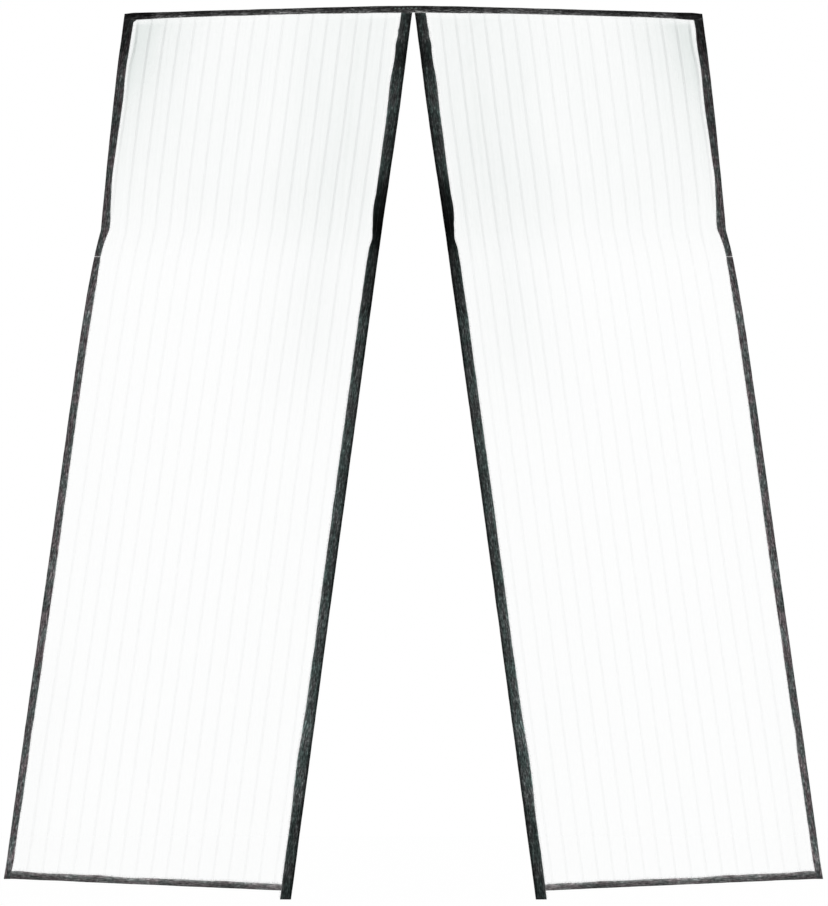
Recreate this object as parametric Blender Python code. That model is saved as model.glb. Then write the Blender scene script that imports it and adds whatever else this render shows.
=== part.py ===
"""Magnetic insect screen, hung with its two net panels spread apart as an upside-down V.

Each panel is a striped net bound in folded felt tape: a heading tape along the top of both
panels, side tapes in two lengths, a hem tape, and a wider sleeve with sewn-in bar magnets
on the edge that meets the other panel. Loop tape on the back holds it to the door frame.

Metres. +X is right and +Z up as seen from the front, which faces -Y. The origin is the
middle of the heading's loop tape, on the face that meets the door frame. Everything else
hangs in front of that face, and a drop is a distance below the origin.
"""

import math

import bmesh
import bpy
from mathutils import Vector

# Overall shape, as hung. The screen is the same on both sides of x = 0.
HEADING_HALF = 0.7045
HEADING_SLOPE = 0.029
HEADING_SOFTNESS = 0.098
HEM_HALF = 0.9981
HEM_CORNER_DROP = 2.1215
HEM_SLOPE = 0.0432
SIDE_BOW = 0.0007
SIDE_TAIL = 0.0008
SLEEVE_TAIL = 0.0207
GAP_HALF_TOP = 0.0022
GAP_HALF_END = 0.2985
GAP_BOW = 0.0015
GAP_DRAWN = 0.0024
GAP_DRAWN_DROP = 0.260
GAP_DRAWN_REACH = 0.170

# The sides are drawn in at the old packing fold, above the joint of the two side tapes.
WAIST_START_DROP = 0.100
WAIST_DROP = 0.540
WAIST_PULL = 0.0150
WAIST_POWER = 1.4
WAIST_RETURN = 0.100
SIDE_JOINT_DROP = 0.606
SIDE_JOINT_GAP = 0.0015

# Visible widths of the tapes, and how they vary along their length
HEADING_WIDTH = 0.0141
HEADING_APEX_EXTRA = 0.0022
HEADING_APEX_REACH = 0.215
HEADING_CORNER_EXTRA = 0.0034
HEADING_CORNER_REACH = 0.080
SIDE_WIDTH = 0.0189
SIDE_TOP_EXTRA = 0.0060
SIDE_TOP_REACH = 0.125
SIDE_WAIST_LESS = 0.0030
SIDE_WAIST_REACH = 0.050
SIDE_HEM_LESS = 0.0032
SIDE_HEM_REACH = 0.180
HEM_WIDTH = 0.0158
HEM_CORNER_EXTRA = 0.0030
HEM_CORNER_REACH = 0.090
SLEEVE_WIDTH = 0.0266
SLEEVE_TOP_EXTRA = 0.0040
SLEEVE_TOP_DROP = 0.190
SLEEVE_TOP_REACH = 0.090
SLEEVE_PINCH = 0.0066
SLEEVE_PINCH_DROP = 0.565
SLEEVE_PINCH_REACH = 0.030

# Thicknesses and clearances
CLEARANCE = 0.0003
SEAM = 0.0005
NET_THICKNESS = 0.0006
TAPE_THICKNESS = 0.0008
LOOP_TAPE_THICKNESS = 0.0012
FOLD_CHAMFER = 0.0012
FOLD_WALL = 0.0010
PINCHED_HALF = 0.00025

# Net: yarn stripes raised from a thin wall, with a row of slits beside each stripe
STRIPE_COUNT = 17
STRIPE_MARGIN_TOP = 0.0660
STRIPE_MARGIN_HEM = 0.0530
STRIPE_WIDTH = 0.0056
STRIPE_HEIGHT = 0.0003
SLIT_WIDTH = 0.0022
UPPER_SLIT_ROW_COUNT = 2
LOWER_SLIT_ROW_COUNT = 3
SLIT_BRIDGE = 0.016
NET_INSET = 0.0040
NET_MARGIN = 0.0030
BILLOW = 0.0180
BILLOW_LIFT = 0.70

# Bar magnets, in pockets of the sleeve next to its fold
MAGNET_COUNT = 13
MAGNET_LENGTH = 0.048
MAGNET_WIDTH = 0.0100
MAGNET_THICKNESS = 0.0020
MAGNET_CORNER = 0.0015
MAGNET_FIRST_DROP = 0.052
MAGNET_LAST_RISE = 0.031
POCKET_SIDE = 0.0012
POCKET_END = 0.0010
POCKET_RAMP = 0.0080
POCKET_SEAM = 0.0020

# Loop tape on the back
HEADING_LOOP_INSET = 0.0014
HEADING_LOOP_SHORT = 0.010
SIDE_LOOP_WIDTH = 0.0110
SIDE_LOOP_INSET = 0.0020
SIDE_LOOP_TOP_DROP = 0.036
SIDE_LOOP_END_RISE = 0.018

# Number of straight lengths that a curved edge is made of
HEADING_STEPS = 20
SIDE_UPPER_STEPS = 7
SIDE_WAIST_STEPS = 2
SIDE_LOWER_STEPS = 6
HEM_STEPS = 4

SIDE_END_DROP = HEM_CORNER_DROP + SIDE_TAIL
SLEEVE_END_DROP = HEM_CORNER_DROP + HEM_SLOPE * (HEM_HALF - GAP_HALF_END) + SLEEVE_TAIL
NET_HALF = NET_THICKNESS / 2
TAPE_INNER = NET_HALF + STRIPE_HEIGHT + CLEARANCE
TAPE_OUTER = TAPE_INNER + TAPE_THICKNESS
MID_PLANE = -(LOOP_TAPE_THICKNESS + CLEARANCE + TAPE_OUTER)
MAGNET_FROM_FOLD = FOLD_WALL + POCKET_SIDE + MAGNET_WIDTH / 2
POCKET_WIDTH = MAGNET_FROM_FOLD + MAGNET_WIDTH / 2 + POCKET_SIDE
NET_FROM_GAP = POCKET_WIDTH + POCKET_SEAM + CLEARANCE * 3
SIDES = (("left", -1), ("right", 1))


def bell(distance, reach, power=2):
    """A smooth bump of height 1, for a change that is local to one place on an edge."""
    return math.exp(-((distance / reach) ** power))


def between(low, high, share):
    return low + (high - low) * share


def heading_width(x):
    apex = HEADING_APEX_EXTRA * bell(x, HEADING_APEX_REACH, 4)
    corner = HEADING_CORNER_EXTRA * bell(HEADING_HALF - abs(x), HEADING_CORNER_REACH)
    return HEADING_WIDTH + apex + corner


def heading_top(x):
    """The heading is straight but for a soft apex, and falls away to both corners."""
    fall = HEADING_SLOPE * (math.hypot(x, HEADING_SOFTNESS) - HEADING_SOFTNESS)
    return heading_width(0) / 2 - fall


def heading_bottom(x):
    return heading_top(x) - heading_width(x)


def waist(drop):
    """How far the side is drawn in: a slow pull down to the waist, then a quick return."""
    if drop <= WAIST_START_DROP:
        return 0.0
    if drop <= WAIST_DROP:
        share = (drop - WAIST_START_DROP) / (WAIST_DROP - WAIST_START_DROP)
        return WAIST_PULL * share**WAIST_POWER
    return WAIST_PULL * math.exp(-(drop - WAIST_DROP) / WAIST_RETURN)


def side_edge(drop):
    """Distance of the outer edge from the middle plane."""
    top_drop = -heading_top(HEADING_HALF)
    share = (drop - top_drop) / (HEM_CORNER_DROP - top_drop)
    bow = SIDE_BOW * math.sin(math.pi * share)
    return between(HEADING_HALF, HEM_HALF, share) - bow - waist(drop)


def side_width(drop):
    top = SIDE_TOP_EXTRA * bell(max(drop, 0.0), SIDE_TOP_REACH)
    nip = SIDE_WAIST_LESS * bell(drop - WAIST_DROP, SIDE_WAIST_REACH)
    hem = SIDE_HEM_LESS * bell(drop - SIDE_END_DROP, SIDE_HEM_REACH)
    return SIDE_WIDTH + top - nip - hem


def gap_edge(drop):
    """Distance of the free edge from the middle plane: half the gap between the panels."""
    share = drop / SLEEVE_END_DROP
    bow = GAP_BOW * math.sin(math.pi * share)
    drawn = GAP_DRAWN * bell(drop - GAP_DRAWN_DROP, GAP_DRAWN_REACH)
    return between(GAP_HALF_TOP, GAP_HALF_END, share) + bow - drawn


def sleeve_width(drop):
    top = SLEEVE_TOP_EXTRA * bell(drop - SLEEVE_TOP_DROP, SLEEVE_TOP_REACH)
    pinch = SLEEVE_PINCH * bell(drop - SLEEVE_PINCH_DROP, SLEEVE_PINCH_REACH)
    return SLEEVE_WIDTH + top - pinch


def hem_bottom(x):
    return -HEM_CORNER_DROP - HEM_SLOPE * (HEM_HALF - x)


def hem_top(x):
    corner = HEM_CORNER_EXTRA * bell(HEM_HALF - x, HEM_CORNER_REACH)
    return hem_bottom(x) + HEM_WIDTH + corner


def crossing(edge, level):
    """Where an edge, given as x for a drop, meets a line, given as z for an x."""
    x = edge(-level(0.0))
    for _ in range(12):
        x = edge(-level(x))
    return x, level(x)


def new_object(name, mesh, material):
    mesh.materials.append(material)
    mesh.shade_smooth()
    mesh.set_sharp_from_angle(angle=math.radians(30))
    thing = bpy.data.objects.new(name, mesh)
    bpy.context.collection.objects.link(thing)
    return thing


def finished_mesh(name, bm):
    """Turns a bmesh of one closed body into a mesh with its faces pointing out."""
    bmesh.ops.recalc_face_normals(bm, faces=bm.faces)
    mesh = bpy.data.meshes.new(name)
    bm.to_mesh(mesh)
    bm.free()
    return mesh


def split_quad(bm, a, b, c, d, crossed):
    """Two triangles, cut from a to c, or from b to d if crossed."""
    if crossed:
        bm.faces.new((a, b, d))
        bm.faces.new((b, c, d))
    else:
        bm.faces.new((a, b, c))
        bm.faces.new((a, c, d))


def sweep(name, side, stations, material):
    """Carries a section along its stations and caps both ends.

    A station is the point at the tape's fold or edge, the point across its width, and the
    section there as (distance across, offset to the front) pairs. Both faces of a leaf are
    cut into triangles the same way, so that the leaf keeps its thickness where it twists.
    """
    bm = bmesh.new()
    rings = []
    for (edge_x, edge_z), (inner_x, inner_z), section in stations:
        edge = Vector((side * edge_x, MID_PLANE, edge_z))
        across = Vector((side * inner_x, MID_PLANE, inner_z)) - edge
        across.normalize()
        rings.append([bm.verts.new(edge + across * w + Vector((0, -out, 0))) for w, out in section])
    section = stations[0][2]
    count = len(section)
    for ring, following in zip(rings, rings[1:]):
        for i in range(count):
            j = (i + 1) % count
            crossed = section[j][0] < section[i][0]
            split_quad(bm, ring[i], ring[j], following[j], following[i], crossed)
    bm.faces.new(rings[0])
    bm.faces.new(rings[-1])
    return new_object(name, finished_mesh(name, bm), material)


def folded_tape(width):
    """Section of a binding tape, folded round the net's edge."""
    nose = TAPE_OUTER * 0.45
    return (
        (width, TAPE_OUTER),
        (FOLD_CHAMFER, TAPE_OUTER),
        (0.0, nose),
        (0.0, -nose),
        (FOLD_CHAMFER, -TAPE_OUTER),
        (width, -TAPE_OUTER),
        (width, -TAPE_INNER),
        (FOLD_WALL, -TAPE_INNER),
        (FOLD_WALL, TAPE_INNER),
        (width, TAPE_INNER),
    )


def sleeve_section(width, pocket_inner, net_inner):
    """Section of the magnet sleeve: a pocket next to the fold, a seam, then the net's slot."""
    pocket_outer = pocket_inner + TAPE_THICKNESS
    net_outer = net_inner + TAPE_THICKNESS
    nose = pocket_outer * 0.45
    seam = POCKET_WIDTH + POCKET_SEAM
    front = (
        (width, net_outer),
        (seam, net_outer),
        (POCKET_WIDTH, pocket_outer),
        (FOLD_CHAMFER, pocket_outer),
        (0.0, nose),
    )
    inside = (
        (FOLD_WALL, pocket_inner),
        (POCKET_WIDTH, pocket_inner),
        (seam, net_inner),
        (width, net_inner),
    )
    back = tuple((w, -out) for w, out in reversed(front))
    inside_back = tuple((w, -out) for w, out in reversed(inside))
    return front + back + inside_back + inside


def flat_tape(width):
    """Section of the loop tape: a plain strip whose back face lies in the plane y = 0."""
    back = MID_PLANE
    front = MID_PLANE + LOOP_TAPE_THICKNESS
    return ((0.0, front), (0.0, back), (width, back), (width, front))


def spread(low, high, steps, power=1.0):
    """Places from low to high, closer together near low when the power is above 1."""
    return [between(low, high, (i / steps) ** power) for i in range(steps + 1)]


def heading_places(half):
    """Places along the heading, closer together at the apex."""
    right = spread(0.0, half, HEADING_STEPS // 2, 1.6)
    return [-x for x in reversed(right[1:])] + right


def heading_binding(material):
    lean = (HEM_HALF - HEADING_HALF) / HEM_CORNER_DROP
    stations = []
    for x in heading_places(HEADING_HALF):
        width = heading_width(x)
        out = lean * width * abs(x) / HEADING_HALF
        inner_x = x + math.copysign(out, x)
        stations.append(((x, heading_top(x)), (inner_x, heading_bottom(x)), folded_tape(width)))
    sweep("heading_binding", 1, stations, material)


def heading_loop_tape(material):
    stations = []
    for x in heading_places(HEADING_HALF - HEADING_LOOP_SHORT):
        top = heading_top(x) - HEADING_LOOP_INSET
        bottom = heading_bottom(x) + HEADING_LOOP_INSET
        stations.append(((x, top), (x, bottom), flat_tape(top - bottom)))
    sweep("heading_loop_tape", 1, stations, material)


def level_station(edge, width, drop):
    """A station whose section lies level: the outer point, the inner point and the section."""
    wide = width(drop)
    return (edge(drop), -drop), (edge(drop) - wide, -drop), folded_tape(wide)


def side_bindings(side_name, side, material):
    """The two lengths of side tape: one ends under the heading, one at the hem's corner."""
    under_heading = lambda x: heading_bottom(x) - SEAM
    outer_x, outer_z = crossing(side_edge, under_heading)
    inner_x = outer_x - side_width(-outer_z)
    top = ((outer_x, outer_z), (inner_x, under_heading(inner_x)), folded_tape(outer_x - inner_x))
    drops = spread(-outer_z, WAIST_DROP, SIDE_UPPER_STEPS)[1:]
    drops += spread(WAIST_DROP, SIDE_JOINT_DROP - SIDE_JOINT_GAP / 2, SIDE_WAIST_STEPS)[1:]
    upper = [top] + [level_station(side_edge, side_width, drop) for drop in drops]
    sweep(f"side_binding_{side_name}_upper", side, upper, material)
    drops = spread(SIDE_JOINT_DROP + SIDE_JOINT_GAP / 2, SIDE_END_DROP, SIDE_LOWER_STEPS, 1.8)
    lower = [level_station(side_edge, side_width, drop) for drop in drops]
    sweep(f"side_binding_{side_name}_lower", side, lower, material)


def side_loop_tape(side_name, side, material):
    drops = spread(SIDE_LOOP_TOP_DROP, WAIST_DROP, SIDE_UPPER_STEPS)
    drops += spread(WAIST_DROP, SIDE_JOINT_DROP, SIDE_WAIST_STEPS)[1:]
    end = SIDE_END_DROP - SIDE_LOOP_END_RISE
    drops += spread(SIDE_JOINT_DROP, end, SIDE_LOWER_STEPS, 1.8)[1:]
    stations = []
    for drop in drops:
        x = side_edge(drop) - SIDE_LOOP_INSET
        stations.append(((x, -drop), (x - SIDE_LOOP_WIDTH, -drop), flat_tape(SIDE_LOOP_WIDTH)))
    sweep(f"side_loop_tape_{side_name}", side, stations, material)


def side_inner(drop):
    return side_edge(drop) - side_width(drop)


def sleeve_inner(drop):
    return gap_edge(drop) + sleeve_width(drop)


def hem_binding(side_name, side, material):
    """Runs along the hem from the side tape to the sleeve, its ends cut to lie along them."""
    outside = lambda drop: side_inner(drop) - SEAM
    inside = lambda drop: sleeve_inner(drop) + SEAM
    low_out = crossing(outside, hem_bottom)
    high_out = crossing(outside, hem_top)
    low_in = crossing(inside, hem_bottom)
    high_in = crossing(inside, hem_top)
    stations = []
    for share in spread(0.0, 1.0, HEM_STEPS, 1.5):
        low_x = between(low_out[0], low_in[0], share)
        high_x = between(high_out[0], high_in[0], share)
        low = Vector((low_x, hem_bottom(low_x)))
        high = Vector((high_x, hem_top(high_x)))
        stations.append((low, high, folded_tape((high - low).length)))
    sweep(f"hem_binding_{side_name}", side, stations, material)


def magnet_drops():
    """Drops of the magnets' centres, evenly spaced down the sleeve."""
    return spread(MAGNET_FIRST_DROP, SLEEVE_END_DROP - MAGNET_LAST_RISE, MAGNET_COUNT - 1)


def magnet_sleeve(side_name, side, material):
    """A folded tape that swells over each magnet and is stitched flat between them."""
    pocket_open = MAGNET_THICKNESS / 2 + CLEARANCE
    half_pocket = MAGNET_LENGTH / 2 + POCKET_END
    under_heading = lambda x: heading_bottom(x) - SEAM
    edge_x, edge_z = crossing(gap_edge, under_heading)
    across_x = edge_x + sleeve_width(-edge_z)
    top_section = sleeve_section(across_x - edge_x, PINCHED_HALF, TAPE_INNER)
    stations = [((edge_x, edge_z), (across_x, under_heading(across_x)), top_section)]
    places = []
    for centre in magnet_drops():
        places.append((centre - half_pocket - POCKET_RAMP, PINCHED_HALF))
        places.append((centre - half_pocket, pocket_open))
        places.append((centre + half_pocket, pocket_open))
        places.append((centre + half_pocket + POCKET_RAMP / 2, PINCHED_HALF))
    hem_drop = -hem_bottom(sleeve_inner(HEM_CORNER_DROP))
    for drop, pocket in places:
        if drop < SLEEVE_END_DROP - CLEARANCE:
            net = TAPE_INNER if drop < hem_drop else PINCHED_HALF
            stations.append(sleeve_station(drop, pocket, net))
    stations.append(sleeve_station(SLEEVE_END_DROP, PINCHED_HALF, PINCHED_HALF))
    sweep(f"magnet_sleeve_{side_name}", side, stations, material)


def sleeve_station(drop, pocket, net):
    width = sleeve_width(drop)
    edge = gap_edge(drop)
    return (edge, -drop), (edge + width, -drop), sleeve_section(width, pocket, net)


def magnet_outline():
    """Corners of a bar magnet with its four corners cut off, round its centre."""
    half_width = MAGNET_WIDTH / 2
    half_length = MAGNET_LENGTH / 2
    points = []
    for across, along in ((1, 1), (-1, 1), (-1, -1), (1, -1)):
        on_end = (across * (half_width - MAGNET_CORNER), along * half_length)
        on_side = (across * half_width, along * (half_length - MAGNET_CORNER))
        points += [on_side, on_end] if across * along > 0 else [on_end, on_side]
    return points


def magnets(side_name, side, material):
    for number, drop in enumerate(magnet_drops(), start=1):
        name = f"magnet_{side_name}_{number:02d}"
        upper = drop - MAGNET_LENGTH / 2
        lower = drop + MAGNET_LENGTH / 2
        down = Vector((gap_edge(lower) - gap_edge(upper), upper - lower)).normalized()
        centre = Vector((gap_edge(drop) + MAGNET_FROM_FOLD, -drop))
        bm = bmesh.new()
        faces = []
        for out in (MAGNET_THICKNESS / 2, -MAGNET_THICKNESS / 2):
            ring = []
            for across, along in magnet_outline():
                place = centre + down * along + Vector((-down.y, down.x)) * across
                ring.append(bm.verts.new((side * place.x, MID_PLANE - out, place.y)))
            faces.append(ring)
        front, back = faces
        bm.faces.new(front)
        bm.faces.new(back)
        for i in range(len(front)):
            j = (i + 1) % len(front)
            bm.faces.new((front[i], front[j], back[j], back[i]))
        new_object(name, finished_mesh(name, bm), material)


def net_row_drops():
    """Drops, at the outer edge, of the rows where slits start and end, in pairs."""
    first = -heading_bottom(HEADING_HALF) + NET_MARGIN
    last = -hem_top(HEM_HALF) - NET_MARGIN
    rows = []
    for start, end, count in (
        (first, WAIST_DROP, UPPER_SLIT_ROW_COUNT),
        (SIDE_JOINT_DROP, last, LOWER_SLIT_ROW_COUNT),
    ):
        length = (end - start - SLIT_BRIDGE * (count - 1)) / count
        for i in range(count):
            begin = start + i * (length + SLIT_BRIDGE)
            rows.append((begin, begin + length))
    return rows


def net_rows():
    """Each row's outer and gap-side end on the panel's edges, and its share of the way down.

    The first row lies inside the heading's fold and the last inside the hem's fold.
    """
    slit_rows = [drop for pair in net_row_drops() for drop in pair]
    corner = side_edge(HEM_CORNER_DROP)
    near = gap_edge(HEM_CORNER_DROP)
    top_out = -heading_top(HEADING_HALF) + NET_INSET
    top_in = -heading_top(0.0) + NET_INSET
    low_out = -hem_bottom(corner) - NET_INSET
    low_in = -hem_bottom(near) - NET_INSET
    first_out = slit_rows[0]
    last_out = slit_rows[-1]
    first_in = -heading_bottom(0.0) + NET_MARGIN
    last_in = -hem_top(near) - NET_MARGIN
    rows = [(top_out, top_in, 0.0)]
    for drop in slit_rows:
        share = (drop - first_out) / (last_out - first_out)
        rows.append((drop, between(first_in, last_in, share), share))
    rows.append((low_out, low_in, 1.0))
    return rows


def net_columns(width, stripe_margin):
    """Places across a panel, from its outer edge, and what each one is.

    A stripe is a foot, a crest and a foot, and the slit lies between the last foot and
    the place after it.
    """
    side_margin = SIDE_WIDTH + SIDE_TOP_EXTRA + NET_MARGIN
    sleeve_margin = SLEEVE_WIDTH + SLEEVE_TOP_EXTRA + NET_MARGIN
    columns = [(NET_INSET, "edge"), (side_margin, "flat")]
    for centre in spread(stripe_margin, width - stripe_margin, STRIPE_COUNT - 1):
        columns.append((centre - STRIPE_WIDTH / 2, "foot"))
        columns.append((centre, "crest"))
        columns.append((centre + STRIPE_WIDTH / 2, "slit"))
        columns.append((centre + STRIPE_WIDTH / 2 + SLIT_WIDTH, "flat"))
    columns.append((width - sleeve_margin, "flat"))
    columns.append((width - NET_FROM_GAP, "edge"))
    return columns


def billow(across, down):
    """How far the net stands forward between its bindings, fullest above the middle."""
    if not 0.0 < across < 1.0 or not 0.0 < down < 1.0:
        return 0.0
    return BILLOW * math.sin(math.pi * across) * math.sin(math.pi * down**BILLOW_LIFT)


def net_grid(side):
    """Front and back points of every row and column. A crest has no back point."""
    grid = []
    for drop_out, drop_in, share in net_rows():
        outer = Vector((side_edge(drop_out), -drop_out))
        inner = Vector((gap_edge(drop_in), -drop_in))
        width = (inner - outer).length
        columns = net_columns(width, between(STRIPE_MARGIN_TOP, STRIPE_MARGIN_HEM, share))
        first = columns[1][0]
        last = columns[-2][0]
        row = []
        for place, kind in columns:
            point = outer.lerp(inner, place / width)
            out = billow((place - first) / (last - first), share)
            raised = STRIPE_HEIGHT if kind == "crest" else 0.0
            front = (side * point.x, MID_PLANE - out - NET_HALF - raised, point.y)
            back = (side * point.x, MID_PLANE - out + NET_HALF, point.y)
            row.append((front, back, kind))
        grid.append(row)
    return grid


def net_panel(side_name, side, material):
    """One thin wall with raised stripes and rows of slits, closed round every edge."""
    grid = net_grid(side)
    bm = bmesh.new()
    front = [[bm.verts.new(cell[0]) for cell in row] for row in grid]
    back = [[None if cell[2] == "crest" else bm.verts.new(cell[1]) for cell in row] for row in grid]
    kinds = [cell[2] for cell in grid[0]]
    solid_back = [i for i, kind in enumerate(kinds) if kind != "crest"]
    last_row = len(grid) - 1

    def is_slit(row, column):
        return kinds[column] == "slit" and 0 < row < last_row - 1 and row % 2 == 1

    for row in range(last_row):
        for i in range(len(kinds) - 1):
            if not is_slit(row, i):
                corners = (front[row][i], front[row][i + 1], front[row + 1][i + 1], front[row + 1][i])
                split_quad(bm, *corners, False)
        for i, j in zip(solid_back, solid_back[1:]):
            if not is_slit(row, i):
                split_quad(bm, back[row][i], back[row][j], back[row + 1][j], back[row + 1][i], False)
            else:
                slit_walls(bm, front, back, row, i, j)
        for i in (0, len(kinds) - 1):
            bm.faces.new((front[row][i], front[row + 1][i], back[row + 1][i], back[row][i]))
    for row in (0, last_row):
        for i, j in zip(solid_back, solid_back[1:]):
            rim = [front[row][k] for k in range(i, j + 1)]
            bm.faces.new(rim + [back[row][j], back[row][i]])
    new_object(f"net_{side_name}", finished_mesh(f"net_{side_name}", bm), material)


def slit_walls(bm, front, back, row, i, j):
    """The four thin walls round a slit."""
    corners = ((row, i), (row, j), (row + 1, j), (row + 1, i))
    for (r, c), (s, d) in zip(corners, corners[1:] + corners[:1]):
        bm.faces.new((front[r][c], front[s][d], back[s][d], back[r][c]))


def principled(name, colour, roughness, metallic=0.0):
    material = bpy.data.materials.new(name)
    material.use_nodes = True
    shader = material.node_tree.nodes["Principled BSDF"]
    shader.inputs["Base Color"].default_value = (*colour, 1.0)
    shader.inputs["Roughness"].default_value = roughness
    shader.inputs["Metallic"].default_value = metallic
    return material


def clear_scene():
    for thing in list(bpy.data.objects):
        bpy.data.objects.remove(thing, do_unlink=True)


def main():
    clear_scene()
    binding_felt = principled("binding_felt", (0.055, 0.055, 0.058), 0.95)
    sleeve_felt = principled("sleeve_felt", (0.025, 0.025, 0.027), 0.95)
    loop_pile = principled("loop_pile", (0.018, 0.018, 0.019), 0.98)
    white_net = principled("white_net", (0.90, 0.91, 0.91), 0.80)
    ferrite = principled("ferrite", (0.045, 0.042, 0.040), 0.55)
    heading_binding(binding_felt)
    heading_loop_tape(loop_pile)
    for side_name, side in SIDES:
        net_panel(side_name, side, white_net)
        side_bindings(side_name, side, binding_felt)
        hem_binding(side_name, side, binding_felt)
        magnet_sleeve(side_name, side, sleeve_felt)
        magnets(side_name, side, ferrite)
        side_loop_tape(side_name, side, loop_pile)


main()
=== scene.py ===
"""Looks of a magnetic insect screen: netting bound in felt tape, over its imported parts."""

import bisect
import math
import random

import bpy
import numpy as np
from bpy.props import FloatProperty, FloatVectorProperty, IntProperty, PointerProperty
from bpy.types import Operator, Panel, PropertyGroup
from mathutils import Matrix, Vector, noise


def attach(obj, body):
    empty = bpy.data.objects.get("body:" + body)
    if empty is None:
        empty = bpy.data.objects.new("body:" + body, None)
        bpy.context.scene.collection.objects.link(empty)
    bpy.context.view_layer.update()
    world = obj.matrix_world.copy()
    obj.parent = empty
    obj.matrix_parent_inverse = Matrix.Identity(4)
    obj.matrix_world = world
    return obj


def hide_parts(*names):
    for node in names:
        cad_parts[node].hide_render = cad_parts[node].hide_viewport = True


bl_info = {
    "name": "Insect Screen",
    "version": (1, 0, 0),
    "blender": (4, 5, 0),
    "location": "3D View > Sidebar > Insect Screen",
    "description": "Dresses a magnetic insect screen in netting, felt tape and stitching",
    "category": "Object",
}

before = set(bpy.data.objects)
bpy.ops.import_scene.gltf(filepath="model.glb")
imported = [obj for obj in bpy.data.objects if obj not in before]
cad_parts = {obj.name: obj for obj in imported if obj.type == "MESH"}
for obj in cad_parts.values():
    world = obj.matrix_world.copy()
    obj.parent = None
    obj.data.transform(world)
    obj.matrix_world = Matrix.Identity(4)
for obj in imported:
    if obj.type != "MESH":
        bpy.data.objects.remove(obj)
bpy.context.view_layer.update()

SIDES = (("left", -1), ("right", 1))
SHARP_ANGLE = math.radians(40.0)

# How far the worn felt leans to a warm or a cool grey.
CAST = (0.07, -0.025, -0.005)

# The screen's outline, in metres. Drops are measured downwards from the apex.
HEADING_HALF = 0.7045
HEADING_SLOPE = 0.029
HEADING_SOFTNESS = 0.098
HEADING_WIDTH = 0.0141
HEADING_APEX_EXTRA = 0.0022
HEADING_APEX_REACH = 0.215
HEADING_CORNER_EXTRA = 0.0034
HEADING_CORNER_REACH = 0.080
HEM_HALF = 0.9981
HEM_CORNER_DROP = 2.1215
HEM_SLOPE = 0.0432
HEM_WIDTH = 0.0158
HEM_CORNER_EXTRA = 0.0030
HEM_CORNER_REACH = 0.090
SIDE_BOW = 0.0007
SIDE_TAIL = 0.0008
SLEEVE_TAIL = 0.0207
GAP_HALF_TOP = 0.0022
GAP_HALF_END = 0.2985
GAP_BOW = 0.0015
GAP_DRAWN = 0.0024
GAP_DRAWN_DROP = 0.260
GAP_DRAWN_REACH = 0.170
WAIST_START_DROP = 0.100
WAIST_DROP = 0.540
WAIST_PULL = 0.0150
WAIST_POWER = 1.4
WAIST_RETURN = 0.100
SIDE_JOINT_DROP = 0.6040
SIDE_JOINT_GAP = 0.0014
SIDE_WIDTH = 0.0189
SIDE_TOP_EXTRA = 0.0060
SIDE_TOP_REACH = 0.125
SIDE_WAIST_LESS = 0.0030
SIDE_WAIST_REACH = 0.050
SIDE_HEM_LESS = 0.0032
SIDE_HEM_REACH = 0.180
SLEEVE_WIDTH = 0.0266
SLEEVE_TOP_EXTRA = 0.0040
SLEEVE_TOP_DROP = 0.190
SLEEVE_TOP_REACH = 0.090
SLEEVE_PINCH = 0.0066
SLEEVE_PINCH_DROP = 0.565
SLEEVE_PINCH_REACH = 0.030
SIDE_END_DROP = HEM_CORNER_DROP + SIDE_TAIL
SLEEVE_END_DROP = HEM_CORNER_DROP + HEM_SLOPE * (HEM_HALF - GAP_HALF_END) + SLEEVE_TAIL

# Where a tape's free edge strays from its even width: the drop, the reach and how much wider.
SIDE_STRAYS = (
    (0.105, 0.030, 0.0009), (0.215, 0.060, 0.0030), (0.262, 0.040, 0.0011),
    (0.408, 0.050, -0.0031), (0.527, 0.033, 0.0053), (0.592, 0.025, -0.0028),
    (0.638, 0.030, -0.0020), (1.340, 0.120, 0.0010), (1.770, 0.030, -0.0015),
    (2.070, 0.040, 0.0014),
)
SLEEVE_STRAYS = (
    (0.052, 0.005, 0.0012), (0.086, 0.014, 0.0017), (0.130, 0.028, -0.0014),
    (0.235, 0.040, -0.0014), (0.265, 0.180, 0.0021), (0.480, 0.020, 0.0018),
    (0.525, 0.012, -0.0012), (0.579, 0.017, 0.0031), (0.750, 0.030, 0.0011),
    (1.550, 0.060, -0.0010), (1.850, 0.095, 0.0037), (2.080, 0.060, 0.0014),
)
# Where the folds of the side tapes run farther out: the drop, the reach and how far.
EDGE_STRAYS = ((0.900, 0.250, 0.0004), (1.820, 0.260, 0.0010), (2.120, 0.030, 0.0011))
# Where the top of the hem runs higher: the distance from the middle, the reach and how much.
HEM_STRAYS = (
    (0.960, 0.020, 0.0014), (0.835, 0.050, 0.0018), (0.765, 0.030, 0.0020),
    (0.690, 0.030, -0.0010), (0.570, 0.030, 0.0009), (0.465, 0.030, 0.0012),
)

# Layers of the tapes and nets, front to back.
SEAM = 0.0005
HEM_TUCK = 0.0012
TAPE_INNER = 0.0009
TAPE_THICKNESS = 0.0008
TAPE_OUTER = TAPE_INNER + TAPE_THICKNESS
LOOP_TAPE_THICKNESS = 0.0012
MID_PLANE = -(LOOP_TAPE_THICKNESS + 0.0003 + TAPE_OUTER)
FOLD_WALL = 0.0010
LIP_ROUND = 0.0003
LIP_SLOT = 0.00062
LIP_THINNER = 0.00035
LIP_THINNER_FROM = 0.75
LIP_EDGE_LESS = 0.00028
LIP_EDGE_WIDTH = 0.0010
NOSE_PLACE = 0.002
GROOVE_PLACE = 0.62
GROOVE_REACH = 0.0008
THREAD_PROUD = 0.00012
FIBRE_ROOT = 0.0009
FIBRE_SUNK = 0.0002

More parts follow.
